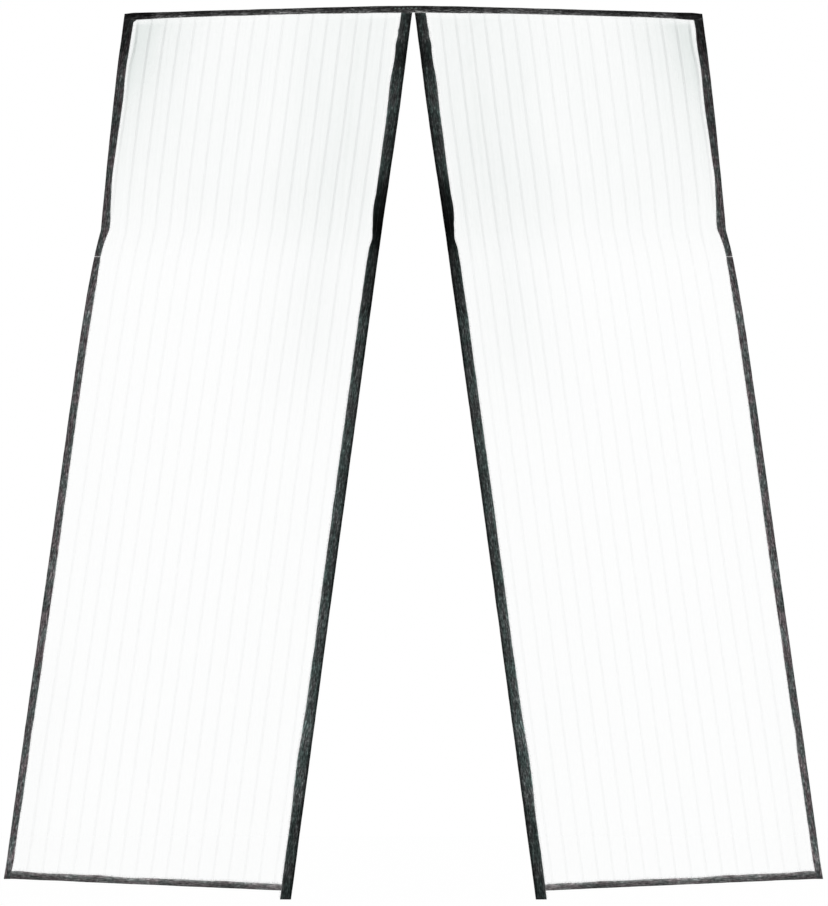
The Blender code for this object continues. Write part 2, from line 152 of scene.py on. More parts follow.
# Steps along the tapes and nets.
HEADING_STEPS = 282
SIDE_UPPER_STEPS = 98
SIDE_LOWER_STEPS = 252
SIDE_TOP_STEPS = 8
SIDE_TOP_STEP = 0.0012
HEM_STEPS = 118
SLEEVE_STEPS = 540
NET_COLUMNS = 88
NET_ROWS = 176
CORD_ROWS = 84
HEADING_LOOP_STEPS = 140
SIDE_LOOP_STEPS = 210

# Stripes, billow and the packing fold of the nets.
STRIPE_COUNT = 17
# By share of the way down: the first stripe from the outer edge and the last from the gap's edge.
STRIPE_MARGINS = (
    (0.00, 0.0690, 0.0620), (0.20, 0.0620, 0.0570), (0.35, 0.0650, 0.0550),
    (0.55, 0.0610, 0.0530), (0.85, 0.0545, 0.0470), (1.00, 0.0530, 0.0460),
)
# A stripe that runs in under the side tape: by share of the way down, its place from that edge.
CORNER_STRIPE = (
    (0.0, 0.035), (0.03, 0.0375), (0.052, 0.0308), (0.11, 0.0312), (0.16, 0.0255), (0.23, 0.024)
)
CORD_PLACES = range(-2, 3)
NET_INSET = 0.0040
NET_MARGIN = 0.0030
NET_FROM_GAP = 0.0163
NET_TOP_DROP = 0.018
BILLOW = 0.01584
BILLOW_LIFT = 0.70
BILLOW_FADE = 14.0
PLEAT_SHARE = 0.45
CREASE_DROP = 0.578
CREASE_REACH = 0.016
CREASE_DEPTH = 0.0030

# How dense the nets are, and how grey with painted shade they look: in the outer top corner,
# above and below the packing fold, beside the gap and at the foot of the outer edge.
VEIL_CORNER = 0.85
VEIL_CORNER_ACROSS = 0.15
VEIL_CORNER_DROP = 0.28
VEIL_UPPER = 0.34
VEIL_LOWER = 0.10
VEIL_GAP = 0.26
VEIL_FOOT = 0.07
# Where those change: by drop, by share across, or by distance from the nearest tape.
VEIL_FOLD_DROPS = (0.44, 0.66)
VEIL_GAP_ACROSS = (0.50, 0.85)
VEIL_GAP_DROPS = (0.75, 1.10)
VEIL_FOOT_ACROSS = (0.02, 0.14)
VEIL_FOOT_DROPS = (1.2, 1.9)
VEIL_FROM_TAPE = (-0.001, 0.009)
# The share of a thread's pitch that is open.
HOLE_SHARE = 0.56

# Magnets in the sleeves.
MAGNET_COUNT = 13
MAGNET_FIRST_DROP = 0.052
MAGNET_LAST_RISE = 0.031
POCKET_HALF = 0.025
POCKET_OPEN = 0.0013
PINCHED_HALF = 0.00025
POCKET_RAMP = 0.009
POCKET_WIDTH = 0.0134
POCKET_SEAM = 0.0020
POCKET_CROWN = 0.10
SLEEVE_SLOT = 0.0006
SLEEVE_LIP_SEAM = 0.0030
SLEEVE_LIP_THINNER = 0.0003
SLEEVE_LIP_THINNER_FROM = 0.85
POCKET_SEAM_INNER = 0.0010
POCKET_SEAM_OUTER = 0.0006
SLEEVE_TAIL_CLOSE = 0.006

# The turned-in corner under each end of the heading.
CORNER_WEB = 0.0070
CORNER_WEB_DROP = 0.0062
HEADING_END_DIP = 0.0018
HEADING_END_REACH = 0.015
CORNER_SLACK = 0.0028
CORNER_SLACK_DROP = 0.042
CORNER_SLACK_REACH = 0.026
SIDE_TURN_REACH = 0.030
SLEEVE_TURN_REACH = 0.04

# Loop tape on the back.
HEADING_LOOP_INSET = 0.0014
HEADING_LOOP_SHORT = 0.010
SIDE_LOOP_WIDTH = 0.0110
SIDE_LOOP_INSET = 0.0020
SIDE_LOOP_TOP_DROP = 0.036
SIDE_LOOP_END_RISE = 0.018
LOOP_VALUES = {"Density": 66000.0, "Loop radius": 0.00055, "Thread radius": 0.00011, "Seed": 3}

# The net's turned-in edge, seen between the two lengths of a side tape.
TURN_HALF = 0.006
TURN_INSET = 0.0014
TURN_PAST = 0.0004
TURN_LAYERS = (0.0005, 0.0003)

# Tacks across the ends of the sleeves.
TACK_TOP_DROP = 0.020
TACK_END_RISE = 0.0050
TACK_FROM = 0.003
TACK_TO = 0.023
TACK_REACH = 0.0022
TACK_TURNS = 18

# The hand stitches at the apex, and the pale cord beside them, a painted highlight along the right
# sleeve's top edge, from one point to another.
APEX_ROW = (-0.044, 0.006)
APEX_ROW_DROP = 0.0062
APEX_STITCHES = {"Pitch": 0.0098, "Stitch length": 0.0064, "Thread radius": 0.0007}
APEX_HIGHLIGHT = ((0.0052, -0.0048), (0.0315, -0.0092))
APEX_HIGHLIGHT_RADIUS = 0.0008

# Tones of the felt along the tapes: by drop for the sides and sleeves, and by distance from the
# middle for the heading and hems. The profiles are tones across, from fold to free edge: painted
# shade darkens the rounded fold, and the free edge is painted paler.
HEADING_SHADES = (
    (0.0, 1.15), (0.03, 1.15), (0.075, 0.85), (0.14, 1.4), (0.20, 1.0), (0.25, 1.75),
    (0.30, 1.8), (0.325, 2.5), (0.35, 1.2), (0.43, 1.4), (0.475, 1.1), (0.525, 0.55),
    (0.60, 1.1), (0.625, 1.5), (0.645, 0.3), (HEADING_HALF, 0.3),
)
HEADING_PROFILE = ((0.0, 0.5), (0.2, 0.62), (0.5, 0.95), (0.7, 1.35), (0.85, 1.8), (1.0, 2.0))
SIDE_SHADES = (
    (0.02, 0.2), (0.10, 0.25), (0.15, 0.63), (0.27, 0.55), (0.35, 0.72), (0.47, 0.8),
    (0.55, 0.92), (0.592, 0.8), (0.598, 0.85), (0.6028, 2.0), (0.606, 0.9), (0.612, 0.78),
    (0.63, 1.15), (0.67, 1.0), (0.75, 1.35), (0.79, 1.1), (0.87, 1.2), (1.03, 0.92),
    (1.11, 1.2), (1.19, 1.05), (1.37, 1.4), (1.47, 0.98), (1.53, 1.3), (1.60, 1.05),
    (1.79, 1.35), (1.97, 1.0), (2.03, 1.5), (2.07, 2.1), (2.10, 1.2), (SIDE_END_DROP, 0.5),
)
SIDE_PROFILE = ((0.0, 0.85), (0.15, 0.97), (0.5, 1.1), (0.75, 1.05), (0.88, 1.3), (1.0, 1.9))
HEM_SHADES = (
    (0.0, 1.0), (0.33, 2.0), (0.355, 1.4), (0.39, 1.2), (0.46, 0.85), (0.52, 1.2), (0.62, 1.1),
    (0.655, 1.8), (0.72, 1.4), (0.78, 1.15), (0.84, 1.25), (0.90, 0.98), (HEM_HALF, 1.1),
)
HEM_PROFILE = (
    (0.0, 0.6), (0.2, 0.88), (0.46, 0.95), (0.6, 1.1), (0.75, 1.6), (0.88, 2.2), (1.0, 3.4)
)
SLEEVE_SHADES = (
    (0.02, 0.75), (0.068, 1.15), (0.095, 0.5), (0.13, 0.42), (0.17, 1.05), (0.22, 1.4),
    (0.27, 1.2), (0.30, 0.92), (0.395, 0.85), (0.44, 0.3), (0.53, 0.07), (0.57, 0.16),
    (0.62, 0.62), (0.72, 0.8), (0.76, 1.2), (0.90, 1.3), (0.97, 1.4), (1.07, 1.8),
    (1.145, 1.4), (1.22, 1.9), (1.27, 1.4), (1.40, 1.3), (1.45, 2.1), (1.50, 2.2),
    (1.545, 1.65), (1.70, 2.1), (1.75, 2.8), (1.82, 1.7), (1.92, 1.95), (1.97, 1.0),
    (SLEEVE_END_DROP, 0.95),
)
SLEEVE_PROFILE = (
    (0.0, 0.26), (0.15, 0.38), (0.28, 0.95), (0.70, 1.0), (0.84, 1.25), (0.92, 1.9), (1.0, 2.6)
)

# The felt's noises: the scales along and across, the detail, the roughness and the wear.
FELT_NOISES = {
    "streak": (40.0, 430.0, 3.0, 0.6, 6.4),
    "grain": (105.0, 400.0, 2.0, 0.55, 6.2),
    "blotch": (75.0, 140.0, 3.0, 0.6, 2.4),
    "slow": (9.0, 34.0, 2.0, 0.5, 2.0),
    "pucker": (260.0, 40.0, 2.0, 0.55, 1.2),
    "fibre": (700.0, 1900.0, 2.0, 0.65, 1.6),
}
# The painted highlight on the fold near a sleeve's end: its fade, its share and its colour.
END_HIGHLIGHT_FADE = (0.0004, 0.0014)
END_HIGHLIGHT_SHARE = 0.35
END_HIGHLIGHT_COLOUR = (0.14, 0.14, 0.14)

# The photograph's frame.
VIEW_HEIGHT = 2.2106
VIEW_CENTRE_X = 0.0014
VIEW_CENTRE_Z = -1.0831
VIEW_DISTANCE = 6.0
SENSOR = 36.0

# The stage: the floor's corners, and each lamp's place, size and share of the lamps' power.
FLOOR_CORNERS = ((-2.2, -1.6), (2.2, -1.6), (2.2, 1.2), (-2.2, 1.2))
FLOOR_GLOW = 0.97
LAMP_AIM = (0.0, 0.0, -1.0)
LAMPS = {
    "lamp_front": ((-2.2, -3.6, 1.2), (2.4, 2.4), 1.0),
    "lamp_side": ((3.0, -2.6, 0.2), (2.0, 2.6), 0.55),
    "lamp_back": ((1.6, 3.8, 1.4), (2.4, 2.4), 1.0),
}


def metres(label, text, size, low, high):
    return FloatProperty(
        name=label,
        description=text,
        default=size,
        min=low,
        max=high,
        precision=5,
        subtype="DISTANCE",
        unit="LENGTH",
    )


def paint(label, text, colour):
    return FloatVectorProperty(
        name=label, description=text, default=colour, min=0.0, max=1.0, size=3, subtype="COLOR"
    )


def fraction(label, text, share):
    return FloatProperty(
        name=label, description=text, default=share, min=0.0, max=1.0, subtype="FACTOR"
    )


class NetSettings(PropertyGroup):
    thickness: metres("Thickness", "Thickness of the netting", 0.00035, 0.0001, 0.0006)
    thread_pitch: metres("Thread pitch", "Distance between threads", 0.0016, 0.0005, 0.005)
    cover_least: fraction("Least cover", "How much the clearest netting hides", 0.05)
    cover_more: fraction("Added cover", "How much more the densest netting hides", 0.46)
    light_colour: paint("Light colour", "Clearest netting", (0.905, 0.942, 0.932))
    # The colour that the veil blends in: painted shade on the densest netting.
    shaded_dense_colour: paint("Dense, shaded colour", "Netting at the outer corners", (0.66, 0.725, 0.70))
    cord_radius: metres("Stripe cord radius", "Radius of a cord", 0.00012, 0.0001, 0.0006)
    cord_gap: metres("Stripe cord gap", "Distance between a stripe's cords", 0.0013, 0.0008, 0.003)
    cord_light: paint("Light stripe colour", "Cords on clear netting", (0.945, 0.952, 0.950))
    # The cords' colour where the veil is high: painted shade.
    cord_shaded_dense: paint("Dense, shaded stripe colour", "Cords at the outer corners", (0.22, 0.25, 0.245))
    wave: metres("Wave", "How far the netting waves", 0.0022, 0.0, 0.006)


class TapeSettings(PropertyGroup):
    edge_wander: metres("Edge wander", "How far a tape's edges stray", 0.00055, 0.0, 0.001)
    lump: metres("Lump", "How far the felt's face swells and sinks", 0.00014, 0.0, 0.0004)
    groove: metres("Stitch groove", "How deep the stitches pull in", 0.00030, 0.0, 0.0006)
    heading: paint("Heading", "Felt of the heading", (0.0355, 0.0355, 0.0355))
    side: paint("Sides", "Felt of the sides", (0.075, 0.075, 0.076))
    hem: paint("Hem", "Felt of the hem", (0.088, 0.087, 0.087))
    sleeve: paint("Sleeves", "Felt of the magnet sleeves", (0.0305, 0.0366, 0.0357))
    fibre: paint("Loose fibres", "Fibres along the free edges", (0.075, 0.078, 0.078))
    fibre_pitch: metres("Fibre pitch", "Distance between loose fibres", 0.00075, 0.0004, 0.003)
    fibre_radius: metres("Fibre radius", "Radius of a loose fibre", 0.00007, 0.00003, 0.0002)
    loop: paint("Loop tape", "Pile of the loop tape", (0.020, 0.020, 0.021))


class StitchSettings(PropertyGroup):
    pitch: metres("Pitch", "Distance between stitches", 0.0045, 0.002, 0.01)
    length: metres("Length", "Length of one stitch", 0.0034, 0.001, 0.008)
    radius: metres("Thread radius", "Radius of the thread", 0.00022, 0.0001, 0.0005)
    thread: paint("Thread", "Sewing thread", (0.030, 0.031, 0.032))
    apex_thread: paint("Apex thread", "Worn thread at the apex", (0.17, 0.235, 0.21))
    # The pale cord at the apex: a painted highlight along the right sleeve's top edge.
    bare_thread: paint("Highlight thread", "Painted highlight at the apex", (0.50, 0.51, 0.505))
    seed: IntProperty(name="Seed", description="Seed of the stitches' tilts", default=7, min=0)


class StageSettings(PropertyGroup):
    floor_colour: paint("Floor", "Colour of the floor", (0.92, 0.92, 0.92))
    floor_drop: metres("Floor drop", "How far the floor lies below the apex", 2.205, 2.18, 3.0)
    ambient: fraction("Ambient", "Strength of the light from all round", 0.62)
    lamp_power: FloatProperty(
        name="Lamp power", description="Power of a soft lamp", default=62.0, min=0.0, unit="POWER"
    )


class Value:
    """A node's output socket. Sums on it add Math nodes to its graph."""

    def __init__(self, graph, socket):
        self.graph = graph
        self.socket = socket

    def math(self, operation, *values):
        places = dict(enumerate(values))
        return self.graph.add("ShaderNodeMath", {"operation": operation}, places)

    def __add__(self, other):
        return self.math("ADD", self, other)

    def __radd__(self, other):
        return self.math("ADD", other, self)

    def __sub__(self, other):
        return self.math("SUBTRACT", self, other)

    def __rsub__(self, other):
        return self.math("SUBTRACT", other, self)

    def __mul__(self, other):
        return self.math("MULTIPLY", self, other)

    def __rmul__(self, other):
        return self.math("MULTIPLY", other, self)

    def __truediv__(self, other):
        return self.math("DIVIDE", self, other)

    def __pow__(self, other):
        return self.math("POWER", self, other)

    def __rpow__(self, other):
        return self.math("POWER", other, self)

    def __abs__(self):
        return self.math("ABSOLUTE", self)

    def most(self, other):
        return self.math("MAXIMUM", self, other)

    def least(self, other):
        return self.math("MINIMUM", self, other)

    def step(self, low, high):
        """0 below low, 1 above high and smooth between them."""
        sockets = {"Value": self, "From Min": low, "From Max": high}
        return self.graph.add("ShaderNodeMapRange", {"interpolation_type": "SMOOTHSTEP"}, sockets)


class Graph:
    """A node tree and the one way in which its nodes are added."""

    def __init__(self, tree):
        self.tree = tree

    def add(self, kind, settings=None, sockets=None, output=0):
        node = self.tree.nodes.new(kind)
        for name, value in (settings or {}).items():
            if name == "stops":
                self.set_stops(node.color_ramp, value)
            else:
                setattr(node, name, value)
        for name, value in (sockets or {}).items():
            self.feed(node.inputs[name], value)
        return Value(self, node.outputs[output]) if node.outputs else node

    def feed(self, socket, value):
        if isinstance(value, Value):
            self.tree.links.new(value.socket, socket)
        elif socket.type == "RGBA" and len(value) == 3:
            socket.default_value = (*value, 1.0)
        else:
            socket.default_value = value

    def set_stops(self, ramp, stops):
        for i, (position, tone) in enumerate(stops):
            stop = ramp.elements[i] if i < 2 else ramp.elements.new(position)
            stop.position = position
            stop.color = (tone, tone, tone, 1.0)

    def blend(self, factor, first, second):
        """A colour between two colours."""
        return self.add("ShaderNodeMix", {"data_type": "RGBA"}, {0: factor, 6: first, 7: second}, 2)

    def tint(self, colour, strength):
        """A colour multiplied by a number or a colour."""
        settings = {"data_type": "RGBA", "blend_type": "MULTIPLY"}
        return self.add("ShaderNodeMix", settings, {0: 1.0, 6: colour, 7: strength}, 2)

    def stretched(self, place, scale):
        return self.add("ShaderNodeVectorMath", {"operation": "MULTIPLY"}, {0: place, 1: scale})

    def noise(self, place, scale, detail=2.0, roughness=0.5):
        sockets = {"Vector": place, "Scale": scale, "Detail": detail, "Roughness": roughness}
        return self.add("ShaderNodeTexNoise", {}, sockets)

    def streaks(self, place, along, across, detail=2.0, roughness=0.5):
        """Noise on the cloth with its own scales along and across."""
        return self.noise(self.stretched(place, (along, across, 1.0)), 1.0, detail, roughness)

    def ramp(self, value, stops):
        return self.add("ShaderNodeValToRGB", {"stops": stops}, {"Fac": value})

    def parts(self, vector):
        node = self.add("ShaderNodeSeparateXYZ", {}, {0: vector}).socket.node
        return [Value(self, output) for output in node.outputs]

    def cloth_place(self):
        """The place on the cloth, in metres along and across it."""
        return self.add("ShaderNodeUVMap", {"uv_map": "cloth"})

    def mark(self, name):
        """A number that the mesh carries at each point."""
        return self.add("ShaderNodeAttribute", {"attribute_name": name}, {}, "Fac")

    def object_place(self):
        return self.add("ShaderNodeTexCoord", {}, {}, "Object")


class Finish(Graph):
    """A material and its nodes."""

    def __init__(self, name):
        self.material = bpy.data.materials.new(name)
        self.material.use_nodes = True
        super().__init__(self.material.node_tree)
        self.tree.nodes.clear()

    def done(self, colour, rough, height, distance, strength=1.0, others=None):
        """Ends the material in one Principled shader, bumped by a height."""
        sockets = {"Height": height, "Distance": distance, "Strength": strength}
        normal = self.add("ShaderNodeBump", {}, sockets)
        sockets = {"Base Color": colour, "Roughness": rough, "Normal": normal}
        shader = self.add("ShaderNodeBsdfPrincipled", {}, {**sockets, **(others or {})})
        self.add("ShaderNodeOutputMaterial", {}, {"Surface": shader})
        return self.material


class Pattern(Graph):
    """A geometry node tree with named inputs that ends in plain, painted mesh."""

    def __init__(self, name, sizes, counts):
        super().__init__(bpy.data.node_groups.new(name, "GeometryNodeTree"))
        inputs = [("Geometry", "Geometry"), *((label, "Float") for label in sizes)]
        inputs += [*((label, "Int") for label in counts), ("Material", "Material")]
        face = self.tree.interface
        for label, kind in inputs:
            face.new_socket(name=label, in_out="INPUT", socket_type=f"NodeSocket{kind}")
        face.new_socket(name="Geometry", in_out="OUTPUT", socket_type="NodeSocketGeometry")
        self.entry = self.add("NodeGroupInput").socket.node

    def given(self, label):
        return Value(self, self.entry.outputs[label])

    def tube(self, curve, radius, sides, caps):
        """A round cord along a curve."""
        sockets = {"Resolution": sides, "Radius": radius}
        ring = self.add("GeometryNodeCurvePrimitiveCircle", {"mode": "RADIUS"}, sockets)
        sockets = {"Curve": curve, "Profile Curve": ring, "Fill Caps": caps}
        return self.add("GeometryNodeCurveToMesh", {}, sockets)

    def scattered(self, points, item, low, high):
        """An item at each point, turned as the point is and by chance between two turns."""
        turn = Value(self, points.socket.node.outputs["Rotation"])
        sockets = {0: low, 1: high, "Seed": self.given("Seed")}
        chance = self.add("FunctionNodeRandomValue", {"data_type": "FLOAT_VECTOR"}, sockets)
        sockets = {"Rotation": turn, "Rotate By": chance}
        turned = self.add("FunctionNodeRotateRotation", {"rotation_space": "LOCAL"}, sockets)
        sockets = {"Points": points, "Instance": item, "Rotation": turned}
        return self.add("GeometryNodeInstanceOnPoints", {}, sockets)

    def done(self, geometry):
        real = self.add("GeometryNodeRealizeInstances", {}, {0: geometry})
        smooth = self.add("GeometryNodeSetShadeSmooth", {}, {"Geometry": real})
        sockets = {"Geometry": smooth, "Material": self.given("Material")}
        painted = self.add("GeometryNodeSetMaterial", {}, sockets)
        self.add("NodeGroupOutput", {}, {"Geometry": painted})
        return self


def bell(distance, reach, power=2):
    return math.exp(-((distance / reach) ** power))


def strays(drop, places):
    return sum(size * bell(drop - centre, reach) for centre, reach, size in places)


def between(low, high, share):
    return low + (high - low) * share


def along_rows(spot, rows):
    """The numbers at a spot, in proportion between the rows for the spots beside it."""
    for (low, *first), (high, *second) in zip(rows, rows[1:]):
        if spot <= high:
            return [between(a, b, (spot - low) / (high - low)) for a, b in zip(first, second)]
    return list(rows[-1][1:])


def eased(value, low, high):
    """0 below low, 1 above high and smooth between them."""
    share = min(max((value - low) / (high - low), 0.0), 1.0)
    return share * share * (3 - 2 * share)


def spread(low, high, steps):
    return [between(low, high, i / steps) for i in range(steps + 1)]


def wander(along, seed, size):
    """A smooth stray from a straight line, the same on every run."""
    slow = noise.noise(Vector((along * 21.0, seed * 7.31, 0.5)))
    quick = noise.noise(Vector((along * 83.0, seed * 3.17, 9.5)))
    return size * (slow * 1.3 + quick * 0.55)


def heading_width(x):
    apex = HEADING_APEX_EXTRA * bell(x, HEADING_APEX_REACH, 4)
    corner = HEADING_CORNER_EXTRA * bell(HEADING_HALF - abs(x), HEADING_CORNER_REACH)
    return HEADING_WIDTH + apex + corner


def heading_top(x):
    fall = math.hypot(x, HEADING_SOFTNESS) - HEADING_SOFTNESS
    return heading_width(0) / 2 - HEADING_SLOPE * fall


def heading_bottom(x):
    return heading_top(x) - heading_width(x)


def under_heading(x):
    return heading_bottom(x) - SEAM


def waist(drop):
    """How far the packing fold draws the side in."""
    if drop < WAIST_START_DROP:
        return 0.0
    if drop < WAIST_DROP:
        share = (drop - WAIST_START_DROP) / (WAIST_DROP - WAIST_START_DROP)
        return WAIST_PULL * share**WAIST_POWER
    return WAIST_PULL * math.exp(-(drop - WAIST_DROP) / WAIST_RETURN)


def side_edge(drop):
    top_drop = -heading_top(HEADING_HALF)
    share = (drop - top_drop) / (HEM_CORNER_DROP - top_drop)
    bow = SIDE_BOW * math.sin(math.pi * share)
    return between(HEADING_HALF, HEM_HALF, share) - bow - waist(drop) + strays(drop, EDGE_STRAYS)


def side_width(drop):
    top = SIDE_TOP_EXTRA * bell(max(drop, 0.0), SIDE_TOP_REACH)
    fold = SIDE_WAIST_LESS * bell(drop - WAIST_DROP, SIDE_WAIST_REACH)
    hem = SIDE_HEM_LESS * bell(drop - SIDE_END_DROP, SIDE_HEM_REACH)
    return SIDE_WIDTH + top - fold - hem + strays(drop, SIDE_STRAYS)


def gap_edge(drop):
    share = drop / SLEEVE_END_DROP
    bow = GAP_BOW * math.sin(math.pi * share)
    drawn = GAP_DRAWN * bell(drop - GAP_DRAWN_DROP, GAP_DRAWN_REACH)
    return between(GAP_HALF_TOP, GAP_HALF_END, share) + bow - drawn


def sleeve_width(drop):
    top = SLEEVE_TOP_EXTRA * bell(drop - SLEEVE_TOP_DROP, SLEEVE_TOP_REACH)
    pinch = SLEEVE_PINCH * bell(drop - SLEEVE_PINCH_DROP, SLEEVE_PINCH_REACH)
    return SLEEVE_WIDTH + top - pinch + strays(drop, SLEEVE_STRAYS)


def side_inner(drop):
    return side_edge(drop) - side_width(drop)


def sleeve_inner(drop):
    return gap_edge(drop) + sleeve_width(drop)


def hem_bottom(x):
    return -HEM_CORNER_DROP - HEM_SLOPE * (HEM_HALF - x)


def hem_top(x):
    wider = HEM_CORNER_EXTRA * bell(HEM_HALF - x, HEM_CORNER_REACH) + strays(x, HEM_STRAYS)
    return hem_bottom(x) + HEM_WIDTH + wider


def crossing(edge, level):
    """Where an edge that runs down meets a line that runs across."""
    x = edge(0.0)
    for _ in range(12):
        x = edge(-level(x))
    return x, level(x)


def magnet_drops():
    return spread(MAGNET_FIRST_DROP, SLEEVE_END_DROP - MAGNET_LAST_RISE, MAGNET_COUNT - 1)


def pocket_half(drop):
    """Half the opening of the magnet pocket: open over a magnet, pinched between two."""
    distance = min(abs(drop - centre) for centre in magnet_drops()) - POCKET_HALF
    return between(POCKET_OPEN, PINCHED_HALF, eased(distance, 0.0, POCKET_RAMP))


def set_marks(mesh, marks):
    for mark, values in (marks or {}).items():
        attribute = mesh.attributes.new(mark, "FLOAT", "POINT")
        attribute.data.foreach_set("value", np.array(values, dtype=np.float32))


def new_piece(name, points, faces, material, cloth=None, marks=None):
    """A smooth mesh object at the origin. cloth holds a place in metres for each point."""
    mesh = bpy.data.meshes.new(name)
    mesh.from_pydata(points, [], faces)
    if cloth is not None:
        corners = np.empty(len(mesh.loops), dtype=np.int32)
        mesh.loops.foreach_get("vertex_index", corners)
        layer = mesh.uv_layers.new(name="cloth")
        layer.data.foreach_set("uv", np.array(cloth, dtype=np.float32)[corners].ravel())
    set_marks(mesh, marks)
    mesh.shade_smooth()
    mesh.set_sharp_from_angle(angle=SHARP_ANGLE)
    mesh.materials.append(material)
    mesh.validate()
    piece = bpy.data.objects.new(name, mesh)
    bpy.context.scene.collection.objects.link(piece)
    return piece


def line_mesh(name, lines, marks=None):
    """A mesh of open lines, each a list of points."""
    points, edges = [], []
    for line in lines:
        first = len(points)
        points.extend(line)
        edges.extend((i, i + 1) for i in range(first, first + len(line) - 1))
    mesh = bpy.data.meshes.new(name)
    mesh.from_pydata(points, edges, [])
    set_marks(mesh, marks)
    return mesh


def grown(name, mesh, pattern, values, material):
    """Runs a pattern on a mesh and keeps the plain mesh that comes out of it."""
    piece = bpy.data.objects.new(name, mesh)
    bpy.context.scene.collection.objects.link(piece)
    modifier = piece.modifiers.new(pattern.tree.name, "NODES")
    modifier.node_group = pattern.tree
    for item in pattern.tree.interface.items_tree:
        if item.in_out == "INPUT" and item.name in values:
            modifier[item.identifier] = values[item.name]
        if item.in_out == "INPUT" and item.name == "Material":
            modifier[item.identifier] = material
    graph = bpy.context.evaluated_depsgraph_get()
    made = bpy.data.meshes.new_from_object(piece.evaluated_get(graph), depsgraph=graph)
    piece.modifiers.clear()
    piece.data = made
    made.name = name
    if not len(made.polygons):
        raise RuntimeError(f"{name} came out empty")
    return piece


def laid(name, lines, pattern, values, material, slot="binding", marks=None):
    """A piece that a pattern makes of lines, settled on the screen."""
    mesh = line_mesh(f"{name}_lines", lines, marks)
    settle(grown(name, mesh, pattern, values, material), slot)


def settle(piece, slot, *nodes):
    """Rides a finished piece on the screen and lets it stand for its CAD nodes."""
    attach(piece, "root")
    if nodes:
        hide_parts(*nodes)


